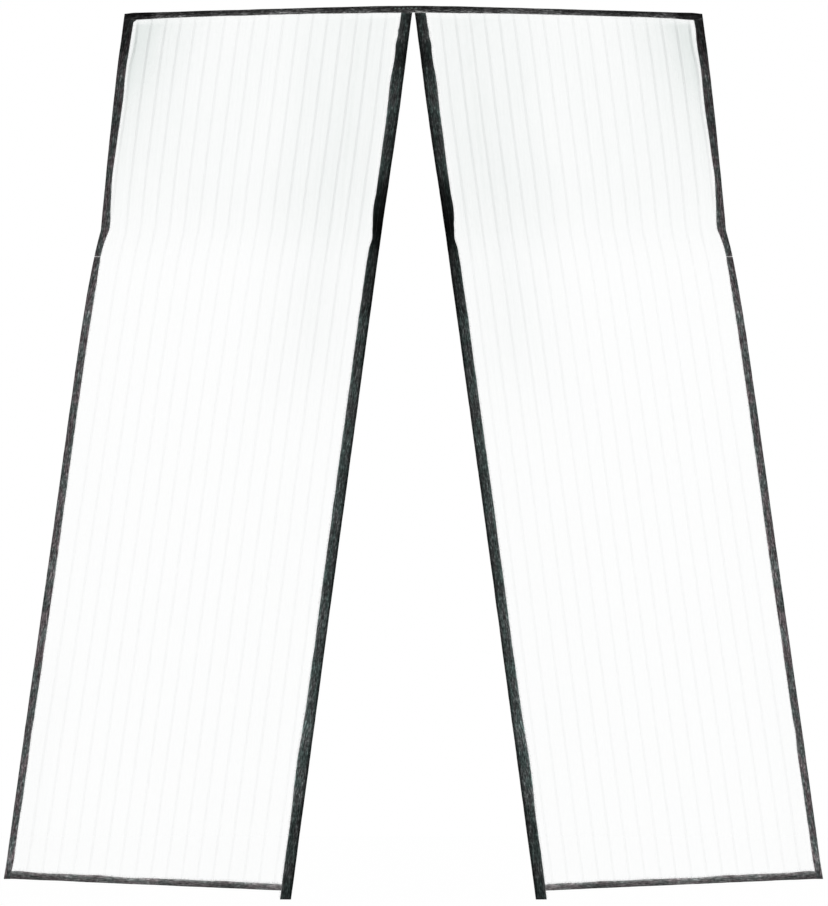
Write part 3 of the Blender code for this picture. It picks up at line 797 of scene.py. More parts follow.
class Tape:
    """A folded tape. Each station is the point at its fold and the point at its free edge."""

    LEAF = (0.86, 0.77, 0.71, 0.665, 0.62, 0.575, 0.53, 0.44, 0.33, 0.22, 0.14)
    NOSE = (14, 32, 52, 72)

    def __init__(self, side, stations, seed, settings):
        self.side = side
        self.folds = [Vector(fold) for fold, lip in stations]
        self.lips = [Vector(lip) for fold, lip in stations]
        self.seed = seed
        self.settings = settings
        self.along = [0.0]
        for point, following in zip(self.folds, self.folds[1:]):
            self.along.append(self.along[-1] + (following - point).length)

    def width(self, i):
        return (self.lips[i] - self.folds[i]).length

    def swell(self, i, w):
        """How far the tape's face stands out from its middle plane."""
        width = self.width(i)
        return TAPE_OUTER - LIP_THINNER * eased(w, width * LIP_THINNER_FROM, width)

    def grooves(self, i):
        """Places across the tape where it is stitched."""
        return (self.width(i) * GROOVE_PLACE,)

    def slot(self, i):
        """The inside of the fold, from the front leaf's edge to the back leaf's."""
        width = self.width(i)
        lip = width - LIP_ROUND / 2
        front = [(lip, LIP_SLOT), (width * 0.5, TAPE_INNER)]
        return self.both_leaves(front, TAPE_INNER * 0.7)

    def both_leaves(self, front, bend):
        """The front leaf's inside, the end of the slot in the fold and the back leaf's inside."""
        front = front + [(FOLD_WALL + LIP_ROUND, bend)]
        return front + [(FOLD_WALL, 0.0)] + [(w, -out) for w, out in reversed(front)]

    def face(self, i, w):
        """The face with its lumps and stitch grooves."""
        along = self.along[i]
        out = self.swell(i, w)
        lump = noise.noise(Vector((along * 48.0, w * 190.0, self.seed)))
        lump += 0.9 * noise.noise(Vector((along * 13.0, w * 60.0, self.seed + 4.5)))
        out += self.settings.lump * lump
        for groove in self.grooves(i):
            out -= self.settings.groove * bell(w - groove, GROOVE_REACH)
        return out

    def point(self, i, w, out, at_front):
        """A point of the tape in the screen's frame."""
        width = self.width(i)
        share = w / width
        seed = self.seed + (0.0 if at_front else 50.0)
        size = self.settings.edge_wander
        stray = wander(self.along[i], seed, size) * share * share
        stray += wander(self.along[i], self.seed + 20.0, size * 0.6) * (1 - share) ** 2
        flat = self.folds[i].lerp(self.lips[i], (w + stray) / width)
        y = MID_PLANE - out if at_front else MID_PLANE + out
        return (self.side * flat.x, y, flat.y)

    def leaf_places(self, width):
        edge = [width, width - LIP_ROUND, width - LIP_EDGE_WIDTH]
        return edge + [width * share for share in self.LEAF]

    def ring(self, i):
        """The section at a station: points, places on the cloth and shares across."""
        width = self.width(i)
        leaf = self.leaf_places(width)
        nose = min(self.swell(i, NOSE_PLACE), leaf[-1])
        row = [(w, self.face(i, w) - (LIP_EDGE_LESS if w == width else 0.0)) for w in leaf]
        for turn in self.NOSE:
            angle = math.radians(turn)
            row.append((nose * (1 - math.sin(angle)), self.face(i, nose) * math.cos(angle)))
        section = [(w, out, True) for w, out in row] + [(0.0, 0.0, True)]
        section += [(w, out, False) for w, out in reversed(row)]
        section += [(w, abs(out), out >= 0) for w, out in reversed(self.slot(i))]
        points = [self.point(i, *spot) for spot in section]
        cloth = [(self.along[i], w if at_front else -w) for w, _, at_front in section]
        return points, cloth, [min(max(w / width, 0.0), 1.0) for w, _, _ in section]

    def piece(self, name, material):
        points, cloth, shares, faces, rings = [], [], [], [], []
        for i in range(len(self.folds)):
            ring, spots, across = self.ring(i)
            rings.append(range(len(points), len(points) + len(ring)))
            points += ring
            cloth += spots
            shares += across
        for ring, following in zip(rings, rings[1:]):
            for i in range(len(ring)):
                j = (i + 1) % len(ring)
                faces.append((ring[i], ring[j], following[j], following[i]))
        faces += [tuple(reversed(rings[0])), tuple(rings[-1])]
        if self.side < 0:
            faces = [tuple(reversed(face)) for face in faces]
        return new_piece(name, points, faces, material, cloth, {"across": shares})

    def seam(self, groove, at_front, lift):
        """A line along one stitch groove, just proud of the felt and short of the tape's ends."""
        line = []
        for i in range(1, len(self.folds) - 1):
            w = self.grooves(i)[groove]
            line.append(self.point(i, w, self.face(i, w) + lift, at_front))
        return line

    def past_lip(self, along, beyond, out, at_front):
        """A point past the free edge, at a distance along the fold."""
        along = min(max(along, self.along[0]), self.along[-1])
        i = min(bisect.bisect_right(self.along, along), len(self.along) - 1) - 1
        share = (along - self.along[i]) / (self.along[i + 1] - self.along[i])
        ends = [self.point(j, self.width(j) + beyond, out, at_front) for j in (i, i + 1)]
        return Vector(ends[0]).lerp(Vector(ends[1]), share)

    def fringe(self, reach, chance):
        """Loose fibres along the free edge, each a line of three points."""
        lines = []
        along = self.along[1]
        while along < self.along[-2]:
            length = reach * between(0.15, 1.0, chance.random())
            slant = chance.uniform(-0.6, 0.6)
            bend = chance.uniform(-0.3, 0.3)
            at_front = chance.random() < 0.6
            out = TAPE_OUTER - FIBRE_SUNK
            root = self.past_lip(along, -FIBRE_ROOT, out, at_front)
            halfway = along + (slant + bend) * length / 2
            middle = self.past_lip(halfway, length / 2, out + 0.0001, at_front)
            tip_out = out + chance.uniform(-0.0002, 0.0006)
            tip = self.past_lip(along + slant * length, length, tip_out, at_front)
            lines.append((root, middle, tip))
            along += self.settings.fibre_pitch * chance.uniform(0.5, 1.5)
        return lines


class Sleeve(Tape):
    """The magnet sleeve: a pocket next to the fold, a seam, then the net's slot."""

    LEAF = (0.93, 0.885, 0.84, 0.76, 0.68, 0.61, 0.57, 0.54, 0.51)
    LEAF += (0.47, 0.41, 0.32, 0.23, 0.15, 0.10)

    def drop(self, i):
        return -self.folds[i].y

    def past_hem(self, i):
        """0 beside the net and 1 in the tail below it, where both leaves are sewn flat."""
        hem_drop = -hem_bottom(sleeve_inner(HEM_CORNER_DROP))
        return eased(self.drop(i), hem_drop, hem_drop + SLEEVE_TAIL_CLOSE)

    def grooves(self, i):
        return (POCKET_WIDTH + POCKET_SEAM / 2, self.width(i) - SLEEVE_LIP_SEAM)

    def swell(self, i, w):
        pocket = pocket_half(self.drop(i)) + TAPE_THICKNESS
        crown = 1.0 + POCKET_CROWN * math.sin(math.pi * min(max(w / POCKET_WIDTH, 0.0), 1.0))
        net = between(TAPE_OUTER, PINCHED_HALF + TAPE_THICKNESS, self.past_hem(i))
        seam_end = POCKET_WIDTH + POCKET_SEAM + POCKET_SEAM_OUTER
        share = eased(w, POCKET_WIDTH - POCKET_SEAM_INNER, seam_end)
        width = self.width(i)
        thinner = SLEEVE_LIP_THINNER * eased(w, width * SLEEVE_LIP_THINNER_FROM, width)
        return between(pocket * crown, net - thinner, share)

    def slot(self, i):
        width = self.width(i)
        pocket = pocket_half(self.drop(i))
        net = between(SLEEVE_SLOT, PINCHED_HALF, self.past_hem(i))
        seam = POCKET_WIDTH + POCKET_SEAM
        front = [(width - LIP_ROUND / 2, net * 0.9), (seam, net), (POCKET_WIDTH, pocket)]
        return self.both_leaves(front, pocket * 0.8)


def heading_stations():
    lean = (HEM_HALF - HEADING_HALF) / HEM_CORNER_DROP
    stations = []
    for x in spread(-HEADING_HALF, HEADING_HALF, HEADING_STEPS):
        out = lean * heading_width(x) * abs(x) / HEADING_HALF
        dip = HEADING_END_DIP * bell(HEADING_HALF - abs(x), HEADING_END_REACH)
        lip = (x + math.copysign(out, x), heading_bottom(x))
        stations.append(((x, heading_top(x) - dip), lip))
    return stations


def corner_extra(drop, top, side):
    """How much wider a side tape is just under the heading. The left one is turned in there."""
    if side < 0:
        return CORNER_WEB * max(0.0, 1.0 - (drop - top) / CORNER_WEB_DROP) ** 1.4
    return -CORNER_SLACK * bell(drop - CORNER_SLACK_DROP, CORNER_SLACK_REACH)


def side_stations(upper, side):
    """Stations of one length of side tape. Its top end lies along the heading."""
    if not upper:
        drops = spread(SIDE_JOINT_DROP + SIDE_JOINT_GAP / 2, SIDE_END_DROP, SIDE_LOWER_STEPS)
        return [((side_edge(drop), -drop), (side_inner(drop), -drop)) for drop in drops]
    top = -crossing(side_edge, under_heading)[1]
    end = SIDE_JOINT_DROP - SIDE_JOINT_GAP / 2
    drops = [top + SIDE_TOP_STEP * i for i in range(SIDE_TOP_STEPS)]
    drops += spread(top + SIDE_TOP_STEP * SIDE_TOP_STEPS, end, SIDE_UPPER_STEPS)
    stations = []
    for drop in drops:
        inner = side_edge(drop) - (side_width(drop) + corner_extra(drop, top, side))
        turned = eased(drop, top, top + SIDE_TURN_REACH)
        level = between(under_heading(inner), -drop, turned) - (drop - top) * (1 - turned)
        stations.append(((side_edge(drop), -drop), (inner, level)))
    return stations


def hem_stations():
    def outside(drop):
        return side_inner(drop) + HEM_TUCK

    def inside(drop):
        return sleeve_inner(drop) + SEAM

    low_out, high_out = crossing(outside, hem_bottom), crossing(outside, hem_top)
    low_in, high_in = crossing(inside, hem_bottom), crossing(inside, hem_top)
    stations = []
    for share in spread(0.0, 1.0, HEM_STEPS):
        low = between(low_out[0], low_in[0], share)
        high = between(high_out[0], high_in[0], share)
        stations.append(((low, hem_bottom(low)), (high, hem_top(high))))
    return stations


def sleeve_stations():
    top = -crossing(gap_edge, under_heading)[1]
    stations = []
    for drop in spread(top, SLEEVE_END_DROP, SLEEVE_STEPS):
        inner = sleeve_inner(drop)
        tilt = under_heading(inner) - under_heading(gap_edge(drop))
        share = 1 - eased(drop, top, top + SLEEVE_TURN_REACH)
        stations.append(((gap_edge(drop), -drop), (inner, -drop + tilt * share)))
    return stations


def net_ends(share):
    """The outer and gap-side end of a line across the net, by its share of the way down."""
    first_out = -heading_bottom(HEADING_HALF) + NET_MARGIN
    last_out = -hem_top(HEM_HALF) - NET_MARGIN
    near = gap_edge(HEM_CORNER_DROP)
    first_in = -heading_bottom(0.0) + NET_MARGIN
    last_in = -hem_top(near) - NET_MARGIN
    drop_out = between(first_out, last_out, share)
    drop_in = between(first_in, last_in, share)
    return Vector((side_edge(drop_out), -drop_out)), Vector((gap_edge(drop_in), -drop_in))


def net_lines(steps):
    """Lines across the net from inside the heading's fold to inside the hem's."""
    near = gap_edge(HEM_CORNER_DROP)
    corner = side_edge(HEM_CORNER_DROP)
    top = Vector((side_edge(NET_TOP_DROP), heading_top(HEADING_HALF) - NET_INSET))
    top_in = Vector((gap_edge(0.0), heading_top(0.0) - NET_INSET))
    low = Vector((corner, hem_bottom(corner) + NET_INSET))
    low_in = Vector((near, hem_bottom(near) + NET_INSET))
    lines = [(top, top_in, 0.0)]
    lines += [(*net_ends(share), share) for share in spread(0.0, 1.0, steps)]
    return lines + [(low, low_in, 1.0)]


def net_span(width):
    """Where the billow starts and ends across the net."""
    sleeve = SLEEVE_WIDTH + SLEEVE_TOP_EXTRA + NET_MARGIN
    return SIDE_WIDTH + SIDE_TOP_EXTRA + NET_MARGIN, width - sleeve


def net_out(x, drop, across, down, side, wave):
    """How far the net stands forward: its billow, soft waves and the packing fold."""
    if not 0.0 < across < 1.0 or not 0.0 < down < 1.0:
        return 0.0
    hold = math.sin(math.pi * across)
    fade = min(1.0, down * BILLOW_FADE) * min(1.0, (1.0 - down) * BILLOW_FADE)
    fade *= min(1.0, hold * 2.2)
    out = BILLOW * hold * math.sin(math.pi * down**BILLOW_LIFT)
    slow = noise.noise(Vector((x * 5.0, drop * 1.3, side * 3.3)))
    pleat = noise.noise(Vector((x * 16.0, drop * 1.0, side * 5.7)))
    out += fade * wave * (slow + PLEAT_SHARE * pleat)
    out -= fade * CREASE_DEPTH * math.exp(-abs(drop - CREASE_DROP) / CREASE_REACH)
    return out


def net_veil(place, width, across, x, drop):
    """How dense the netting is, and how grey its painted shade: most at the outer top corner, clear
    at the tapes.
    """
    across, drop = max(across, 0.0), max(drop, 0.0)
    corner = bell(across, VEIL_CORNER_ACROSS, 1.3) * bell(drop, VEIL_CORNER_DROP, 1.6)
    level = between(VEIL_UPPER, VEIL_LOWER, eased(drop, *VEIL_FOLD_DROPS))
    near = VEIL_GAP * eased(across, *VEIL_GAP_ACROSS) * (1 - 0.25 * eased(across, 0.85, 1.0))
    near *= between(1.0, 0.12, eased(drop, *VEIL_GAP_DROPS))
    foot = VEIL_FOOT * (1 - eased(across, *VEIL_FOOT_ACROSS)) * eased(drop, *VEIL_FOOT_DROPS)
    beside = min(place - side_width(drop), width - place - sleeve_width(drop))
    clear = eased(min(beside, drop + heading_bottom(x)), *VEIL_FROM_TAPE)
    return clear * min(1.0, level + near + foot + VEIL_CORNER * corner)


def net_point(side, outer, inner, place, down, wave, lift=0.0):
    """A point on the net and its share across."""
    width = (inner - outer).length
    first, last = net_span(width)
    spot = outer.lerp(inner, place / width)
    across = (place - first) / (last - first)
    out = net_out(spot.x, -spot.y, across, down, side, wave)
    return (side * spot.x, MID_PLANE - out - lift, spot.y), across, -spot.y


def net_panel(side_name, side, settings, material):
    """One closed thin sheet. Its front and back follow the same curved surface."""
    fronts, backs, cloth, veils = [], [], [], []
    lines = net_lines(NET_ROWS)
    for outer, inner, down in lines:
        width = (inner - outer).length
        for share in spread(0.0, 1.0, NET_COLUMNS):
            place = between(NET_INSET, width - NET_FROM_GAP, share)
            half = settings.thickness / 2
            front, across, drop = net_point(side, outer, inner, place, down, settings.wave, half)
            fronts.append(front)
            backs.append((front[0], front[1] + settings.thickness, front[2]))
            cloth.append((place, -drop))
            veils.append(net_veil(place, width, across, abs(front[0]), drop))
    row = NET_COLUMNS + 1
    total = len(fronts)
    faces = []
    for r in range(len(lines) - 1):
        for c in range(NET_COLUMNS):
            a = r * row + c
            quad = (a, a + 1, a + 1 + row, a + row)
            faces.append(quad)
            faces.append(tuple(total + i for i in reversed(quad)))
    last = (len(lines) - 1) * row
    rim = list(range(row)) + [r * row + NET_COLUMNS for r in range(1, len(lines))]
    rim += [last + c for c in range(NET_COLUMNS - 1, -1, -1)]
    rim += [r * row for r in range(len(lines) - 2, 0, -1)]
    for a, b in zip(rim, rim[1:] + rim[:1]):
        faces.append((b, a, total + a, total + b))
    if side > 0:
        faces = [tuple(reversed(face)) for face in faces]
    points, marks = fronts + backs, {"veil": veils + veils}
    piece = new_piece(f"net_panel_{side_name}", points, faces, material, cloth + cloth, marks)
    settle(piece, "net", f"net_{side_name}")


def netting(settings):
    """Fine white netting: threads a little denser than the holes. Where its veil is high it is
    denser and greyed by painted shade.
    """
    finish = Finish("netting")
    veil = finish.mark("veil")
    place = finish.cloth_place()
    across, down, _ = finish.parts(place)
    strand = 0.5 * (1.0 - HOLE_SHARE)
    grid = None
    for part in (across, down):
        swing = part / settings.thread_pitch
        offset = abs(swing.math("FRACT", swing) - 0.5)
        thread = 1.0 - offset.step(strand * 0.55, strand * 1.25)
        grid = thread if grid is None else grid.most(thread)
    cloudy = finish.streaks(place, 9.0, 3.5, 3.0, 0.55)
    bands = finish.streaks(place, 95.0, 0.9, 2.0, 0.6)
    dense_and_shaded = veil * (0.72 + 0.56 * cloudy) * (0.80 + 0.40 * bands)
    cover = settings.cover_least + settings.cover_more * dense_and_shaded
    layer = 1.0 - (1.0 - cover) ** 0.5
    alpha = layer * (0.62 + 0.80 * grid)
    light, dark = tuple(settings.light_colour), tuple(settings.shaded_dense_colour)
    # Painted shade: the veil blends the light colour toward the darker one.
    colour = finish.blend(dense_and_shaded.least(1.0), light, dark)
    return finish.done(colour, 0.75, grid, 0.0001, 0.6, {"Alpha": alpha})


def stripe_cord(settings):
    """Thin cords of a stripe, darkened with painted shade where the netting's veil is high."""
    finish = Finish("stripe_cord")
    place = finish.object_place()
    dense_and_shaded = (finish.mark("veil") * 1.11 - 0.11).most(0.0) ** 1.2
    # Painted shade: the cords darken toward the shaded colour as the veil rises.
    colour = finish.blend(dense_and_shaded.least(1.0), tuple(settings.cord_light), tuple(settings.cord_shaded_dense))
    uneven = finish.noise(finish.stretched(place, (40.0, 1.0, 9.0)), 1.0, 2.0)
    colour = finish.tint(colour, 0.94 + 0.12 * uneven)
    twist = finish.noise(place, 900.0, 1.0)
    return finish.done(colour, 0.7, twist, 0.00005)


def felt(name, colour, shades, profile, lengthwise=True, streak=1.0, cast=1.0, end_highlight=0.0):
    """Worn felt tape. shades are its tones along it, and profile its tones across it, which paint
    shade darker at the rounded fold and paler toward the free edge.

    streak scales the wear and cast the lean of its hue. end_highlight is the place of a painted
    highlight, a paler line on the fold near the tape's end, or 0 for none.
    """
    finish = Finish(name)
    place = finish.cloth_place()
    along = finish.parts(place)[0]
    x, _, z = finish.parts(finish.object_place())
    run = 0.0 - z if lengthwise else abs(x)
    reach = shades[-1][0]
    stops = [(spot / reach, shade) for spot, shade in shades]
    length_shade = finish.ramp(run / reach, stops)
    # Painted shade across the tape: darker at the rounded fold, paler toward the free edge.
    width_shade = finish.ramp(finish.mark("across"), profile)
    noises, wear = {}, {}
    for label, (*scales, power) in FELT_NOISES.items():
        noises[label] = finish.streaks(place, *scales)
        wear[label] = (noises[label] - 0.5) * power
    fibre_wear = wear.pop("fibre")
    worn = 2.0 ** (sum(wear.values()) * streak + fibre_wear)
    lint = finish.streaks(place, 260.0, 900.0, 1.0, 0.5).step(0.68, 0.80)
    shade = finish.tint(finish.tint(tuple(colour), length_shade), width_shade)
    shade = finish.tint(shade, worn * (0.88 + 0.5 * lint))
    hue = finish.streaks(place, 22.0, 75.0, 1.0, 0.5).step(0.38, 0.62)
    warm = tuple(1.0 + cast * part for part in CAST)
    cool = tuple(1.0 - cast * part for part in CAST)
    shade = finish.tint(shade, finish.blend(hue, warm, cool))
    if end_highlight:
        # Painted highlight: a paler line on the fold at the tape's end.
        turned = 1.0 - abs(along - end_highlight).step(*END_HIGHLIGHT_FADE)
        shade = finish.blend(turned * END_HIGHLIGHT_SHARE, shade, END_HIGHLIGHT_COLOUR)
    height = noises["fibre"] * 0.6 + noises["blotch"] * 0.5
    height = height + noises["streak"] * 0.3 + noises["pucker"] * 0.8
    rough = 0.90 + 0.08 * noises["fibre"]
    return finish.done(shade, rough, height, 0.0005, 0.9, {"Specular IOR Level": 0.03})


def sewing_thread(name, colour):
    """Twisted polyester thread with a faint sheen."""
    finish = Finish(name)
    place = finish.object_place()
    twist = finish.noise(place, 1500.0, 1.0)
    patch = finish.noise(place, 60.0, 2.0)
    shade = finish.tint(tuple(colour), 0.65 + 0.7 * patch)
    return finish.done(shade, 0.55 + 0.2 * twist, twist, 0.00006)


def loop_pile(colour):
    """Dark brushed loops."""
    finish = Finish("loop_pile")
    place = finish.object_place()
    tuft = finish.noise(place, 420.0, 3.0, 0.7)
    patch = finish.noise(place, 22.0, 2.0)
    shade = finish.tint(tuple(colour), 2.0 ** ((tuft - 0.5) * 3.0 + (patch - 0.5) * 2.0))
    return finish.done(shade, 0.85 + 0.1 * tuft, tuft, 0.0005, 1.0, {"Sheen Weight": 0.08})


def ferrite():
    """Pressed black magnet with a grainy face and paler chips."""
    finish = Finish("pressed_ferrite")
    place = finish.object_place()
    grain = finish.noise(place, 1300.0, 3.0, 0.7)
    chips = finish.noise(place, 240.0, 2.0).step(0.62, 0.72)
    shade = finish.blend(chips, (0.040, 0.038, 0.037), (0.085, 0.080, 0.076))
    shade = finish.tint(shade, 0.8 + 0.4 * grain)
    return finish.done(shade, 0.45 + 0.25 * grain, grain, 0.0001)


def cord_pattern():
    """Turns each line into a round cord."""
    pattern = Pattern("Cords along lines", ["Radius"], ["Sides"])
    curve = pattern.add("GeometryNodeMeshToCurve", {}, {0: pattern.given("Geometry")})
    cord = pattern.tube(curve, pattern.given("Radius"), pattern.given("Sides"), True)
    return pattern.done(cord)


def stitch_pattern():
    """Lays stitches end to end along each line, each tilted a little."""
    sizes = ["Pitch", "Stitch length", "Thread radius", "Tilt"]
    pattern = Pattern("Stitches along lines", sizes, ["Seed"])
    curve = pattern.add("GeometryNodeMeshToCurve", {}, {0: pattern.given("Geometry")})
    sockets = {"Curve": curve, "Length": pattern.given("Pitch")}
    points = pattern.add("GeometryNodeCurveToPoints", {"mode": "LENGTH"}, sockets)
    bead = pattern.add("GeometryNodeMeshUVSphere", {}, {"Segments": 4, "Rings": 4, "Radius": 1.0})
    radius = pattern.given("Thread radius")
    sockets = {"X": radius, "Y": radius, "Z": pattern.given("Stitch length") * 0.5}
    size = pattern.add("ShaderNodeCombineXYZ", {}, sockets)
    bead = pattern.add("GeometryNodeTransform", {}, {"Geometry": bead, "Scale": size})
    tilt = pattern.given("Tilt")
    low = pattern.add("ShaderNodeCombineXYZ", {}, {"X": 0.0 - tilt, "Y": 0.0 - tilt, "Z": -3.0})
    high = pattern.add("ShaderNodeCombineXYZ", {}, {"X": tilt, "Y": tilt, "Z": 3.0})
    return pattern.done(pattern.scattered(points, bead, low, high))


def pile_pattern():
    """Covers the back of a strip with small loops."""
    pattern = Pattern("Pile of loops", ["Density", "Loop radius", "Thread radius"], ["Seed"])
    base = pattern.given("Geometry")
    facing = pattern.parts(pattern.add("GeometryNodeInputNormal"))[1]
    compare = {"operation": "GREATER_THAN"}
    at_back = pattern.add("FunctionNodeCompare", compare, {0: facing, 1: 0.7})
    sockets = {"Mesh": base, "Selection": at_back, "Seed": pattern.given("Seed")}
    sockets["Density"] = pattern.given("Density")
    settings = {"distribute_method": "RANDOM"}
    points = pattern.add("GeometryNodeDistributePointsOnFaces", settings, sockets)
    sockets = {"Resolution": 6, "Radius": pattern.given("Loop radius")}
    sockets.update({"Start Angle": math.radians(-30), "Sweep Angle": math.radians(240)})
    arc = pattern.add("GeometryNodeCurveArc", {"mode": "RADIUS"}, sockets)
    sockets = {"Geometry": arc, "Rotation": (math.pi / 2, 0.0, 0.0)}
    arc = pattern.add("GeometryNodeTransform", {}, sockets)
    loop = pattern.tube(arc, pattern.given("Thread radius"), 3, False)
    loops = pattern.scattered(points, loop, (-0.6, -0.6, -3.14), (0.6, 0.6, 3.14))
    joined = pattern.add("GeometryNodeJoinGeometry", {}, {0: loops})
    pattern.feed(joined.socket.node.inputs[0], base)
    return pattern.done(joined)


def zigzag(start, end, reach, turns, y):
    """A tack: thread that zigzags between two points of the screen's plane."""
    start, end = Vector(start), Vector(end)
    across = (end - start).orthogonal().normalized() * reach / 2
    line = []
    for i in range(turns + 1):
        spot = start.lerp(end, i / turns) + (across if i % 2 else -across)
        line.append((spot.x, y, spot.y))
    return line


# The tapes folded so far, by name, for the loose fibres and the stitches.
runs = {}


def fold(run, tape, name, material, slot, node):
    """Keeps a tape as a run, and settles its piece in place of its CAD node."""
    runs[run] = tape
    settle(tape.piece(name, material), slot, node)


class SCREEN_OT_nets(Operator):
    """Hangs the two netting panels"""

    bl_idname = "screen_dress.nets"
    bl_label = "Netting"

    def execute(self, context):
        settings = context.scene.screen_net
        material = netting(settings)
        for side_name, side in SIDES:
            net_panel(side_name, side, settings, material)
        return {"FINISHED"}


class SCREEN_OT_stripes(Operator):
    """Lays the striped cords down each net"""

    bl_idname = "screen_dress.stripes"
    bl_label = "Stripes"

    def execute(self, context):
        settings = context.scene.screen_net
        material = stripe_cord(settings)
        pattern = cord_pattern()
        lines_across = net_lines(CORD_ROWS)
        lift = settings.thickness / 2 + settings.cord_radius * 0.6
        for side_name, side in SIDES:
            cords, veils = [], []
            for stripe in range(-1, STRIPE_COUNT):
                for cord in CORD_PLACES:
                    line = []
                    for outer, inner, down in lines_across:
                        if stripe < 0 and down > CORNER_STRIPE[-1][0]:
                            break
                        width = (inner - outer).length
                        first, last = along_rows(down, STRIPE_MARGINS)
                        place = between(first, width - last, stripe / (STRIPE_COUNT - 1))
                        if stripe < 0:
                            place = along_rows(down, CORNER_STRIPE)[0]
                        place += cord * settings.cord_gap
                        point, across, drop = net_point(
                            side, outer, inner, place, down, settings.wave, lift
                        )
                        line.append(point)
                        veils.append(net_veil(place, width, across, abs(point[0]), drop))
                    cords.append(line)
            name, values = f"stripe_cords_{side_name}", {"Radius": settings.cord_radius, "Sides": 4}
            laid(name, cords, pattern, values, material, "net", {"veil": veils})
        return {"FINISHED"}


class SCREEN_OT_heading(Operator):
    """Folds the heading tape across both panels"""

    bl_idname = "screen_dress.heading"
    bl_label = "Heading tape"

    def execute(self, context):
        settings = context.scene.screen_tape
        tones = (HEADING_SHADES, HEADING_PROFILE)
        material = felt("heading_felt", settings.heading, *tones, False, streak=1.2, cast=0.2)
        tape = Tape(1, heading_stations(), 1.0, settings)
        fold("heading", tape, "heading_tape", material, "binding", "heading_binding")
        return {"FINISHED"}


class SCREEN_OT_sides(Operator):
    """Folds the two lengths of tape down each outer side"""

    bl_idname = "screen_dress.sides"
    bl_label = "Side tapes"

    def execute(self, context):
        settings = context.scene.screen_tape
        material = felt("side_felt", settings.side, SIDE_SHADES, SIDE_PROFILE, cast=1.6)
        for side_name, side in SIDES:
            for length in ("upper", "lower"):
                seed = 3.0 + side + (0.5 if length == "upper" else 0.0)
                tape = Tape(side, side_stations(length == "upper", side), seed, settings)
                end = f"{side_name}_{length}"
                name, node = f"side_tape_{end}", f"side_binding_{end}"
                fold(f"side_{end}", tape, name, material, "binding", node)
        return {"FINISHED"}


class SCREEN_OT_hems(Operator):
    """Folds the tape along each hem"""

    bl_idname = "screen_dress.hems"
    bl_label = "Hem tapes"

    def execute(self, context):
        settings = context.scene.screen_tape
        tones = (HEM_SHADES, HEM_PROFILE)
        material = felt("hem_felt", settings.hem, *tones, False, streak=0.75, cast=0.8)
        for side_name, side in SIDES:
            tape = Tape(side, hem_stations(), 8.0 + side, settings)
            name, node = f"hem_tape_{side_name}", f"hem_binding_{side_name}"
            fold(f"hem_{side_name}", tape, name, material, "binding", node)
        return {"FINISHED"}


class SCREEN_OT_sleeves(Operator):
    """Folds the magnet sleeves down the edges that meet"""

    bl_idname = "screen_dress.sleeves"
    bl_label = "Magnet sleeves"

    def execute(self, context):
        settings = context.scene.screen_tape
        tones = (SLEEVE_SHADES, SLEEVE_PROFILE)
        looks = {"streak": 1.02, "cast": 1.2, "end_highlight": 0.0010}
        material = felt("sleeve_felt", settings.sleeve, *tones, **looks)
        for side_name, side in SIDES:
            tape = Sleeve(side, sleeve_stations(), 14.0 + side, settings)
            name = f"sleeve_{side_name}"
            fold(name, tape, name, material, "sleeve", f"magnet_{name}")
        return {"FINISHED"}


class SCREEN_OT_loop_tapes(Operator):
    """Puts the loop tape on the back of the heading and the sides"""

    bl_idname = "screen_dress.loop_tapes"
    bl_label = "Loop tapes"

    def execute(self, context):
        material = loop_pile(context.scene.screen_tape.loop)
        pattern = pile_pattern()
        rows = []
        end = HEADING_HALF - HEADING_LOOP_SHORT
        for x in spread(-end, end, HEADING_LOOP_STEPS):
            top = heading_top(x) - HEADING_LOOP_INSET
            rows.append(((x, top), (x, heading_bottom(x) + HEADING_LOOP_INSET)))
        strips = [("heading", 1, rows, "heading_loop_tape")]
        rows = []
        end = SIDE_END_DROP - SIDE_LOOP_END_RISE
        for drop in spread(SIDE_LOOP_TOP_DROP, end, SIDE_LOOP_STEPS):
            x = side_edge(drop) - SIDE_LOOP_INSET
            rows.append(((x, -drop), (x - SIDE_LOOP_WIDTH, -drop)))
        for side_name, side in SIDES:
            strips.append((side_name, side, rows, f"side_loop_tape_{side_name}"))
        for label, side, rows, node in strips:
            mesh = strip_mesh(f"loop_strip_{label}", side, rows)
            piece = grown(f"loop_tape_{label}", mesh, pattern, LOOP_VALUES, material)
            settle(piece, "loop_tape", node)
        return {"FINISHED"}


def strip_mesh(name, side, rows):
    """A closed flat strip with rounded long edges, its back in the plane y = 0."""
    rounding = [(0.0, 0.30), (0.03, 0.75), (0.10, 1.0)]
    section = rounding + [(0.5, 1.0)] + [(0.90, 1.0), (0.97, 0.75), (1.0, 0.30)]
    front = MID_PLANE + TAPE_OUTER + 0.0001
    points, faces, rings = [], [], []
    for start, end in rows:
        start, end = Vector(start), Vector(end)
        ring = []
        for share, height in section:
            spot = start.lerp(end, share)
            ring.append((side * spot.x, between(front, -0.0004, height), spot.y))
        for share in (1.0, 0.0):
            spot = start.lerp(end, share)
            ring.append((side * spot.x, front, spot.y))
        rings.append(range(len(points), len(points) + len(ring)))
        points += ring
    for ring, following in zip(rings, rings[1:]):
        for i in range(len(ring)):
            j = (i + 1) % len(ring)
            faces.append((ring[i], following[i], following[j], ring[j]))
    faces += [tuple(rings[0]), tuple(reversed(rings[-1]))]
    if side < 0:
        faces = [tuple(reversed(face)) for face in faces]
    mesh = bpy.data.meshes.new(name)
    mesh.from_pydata(points, [], faces)
    return mesh


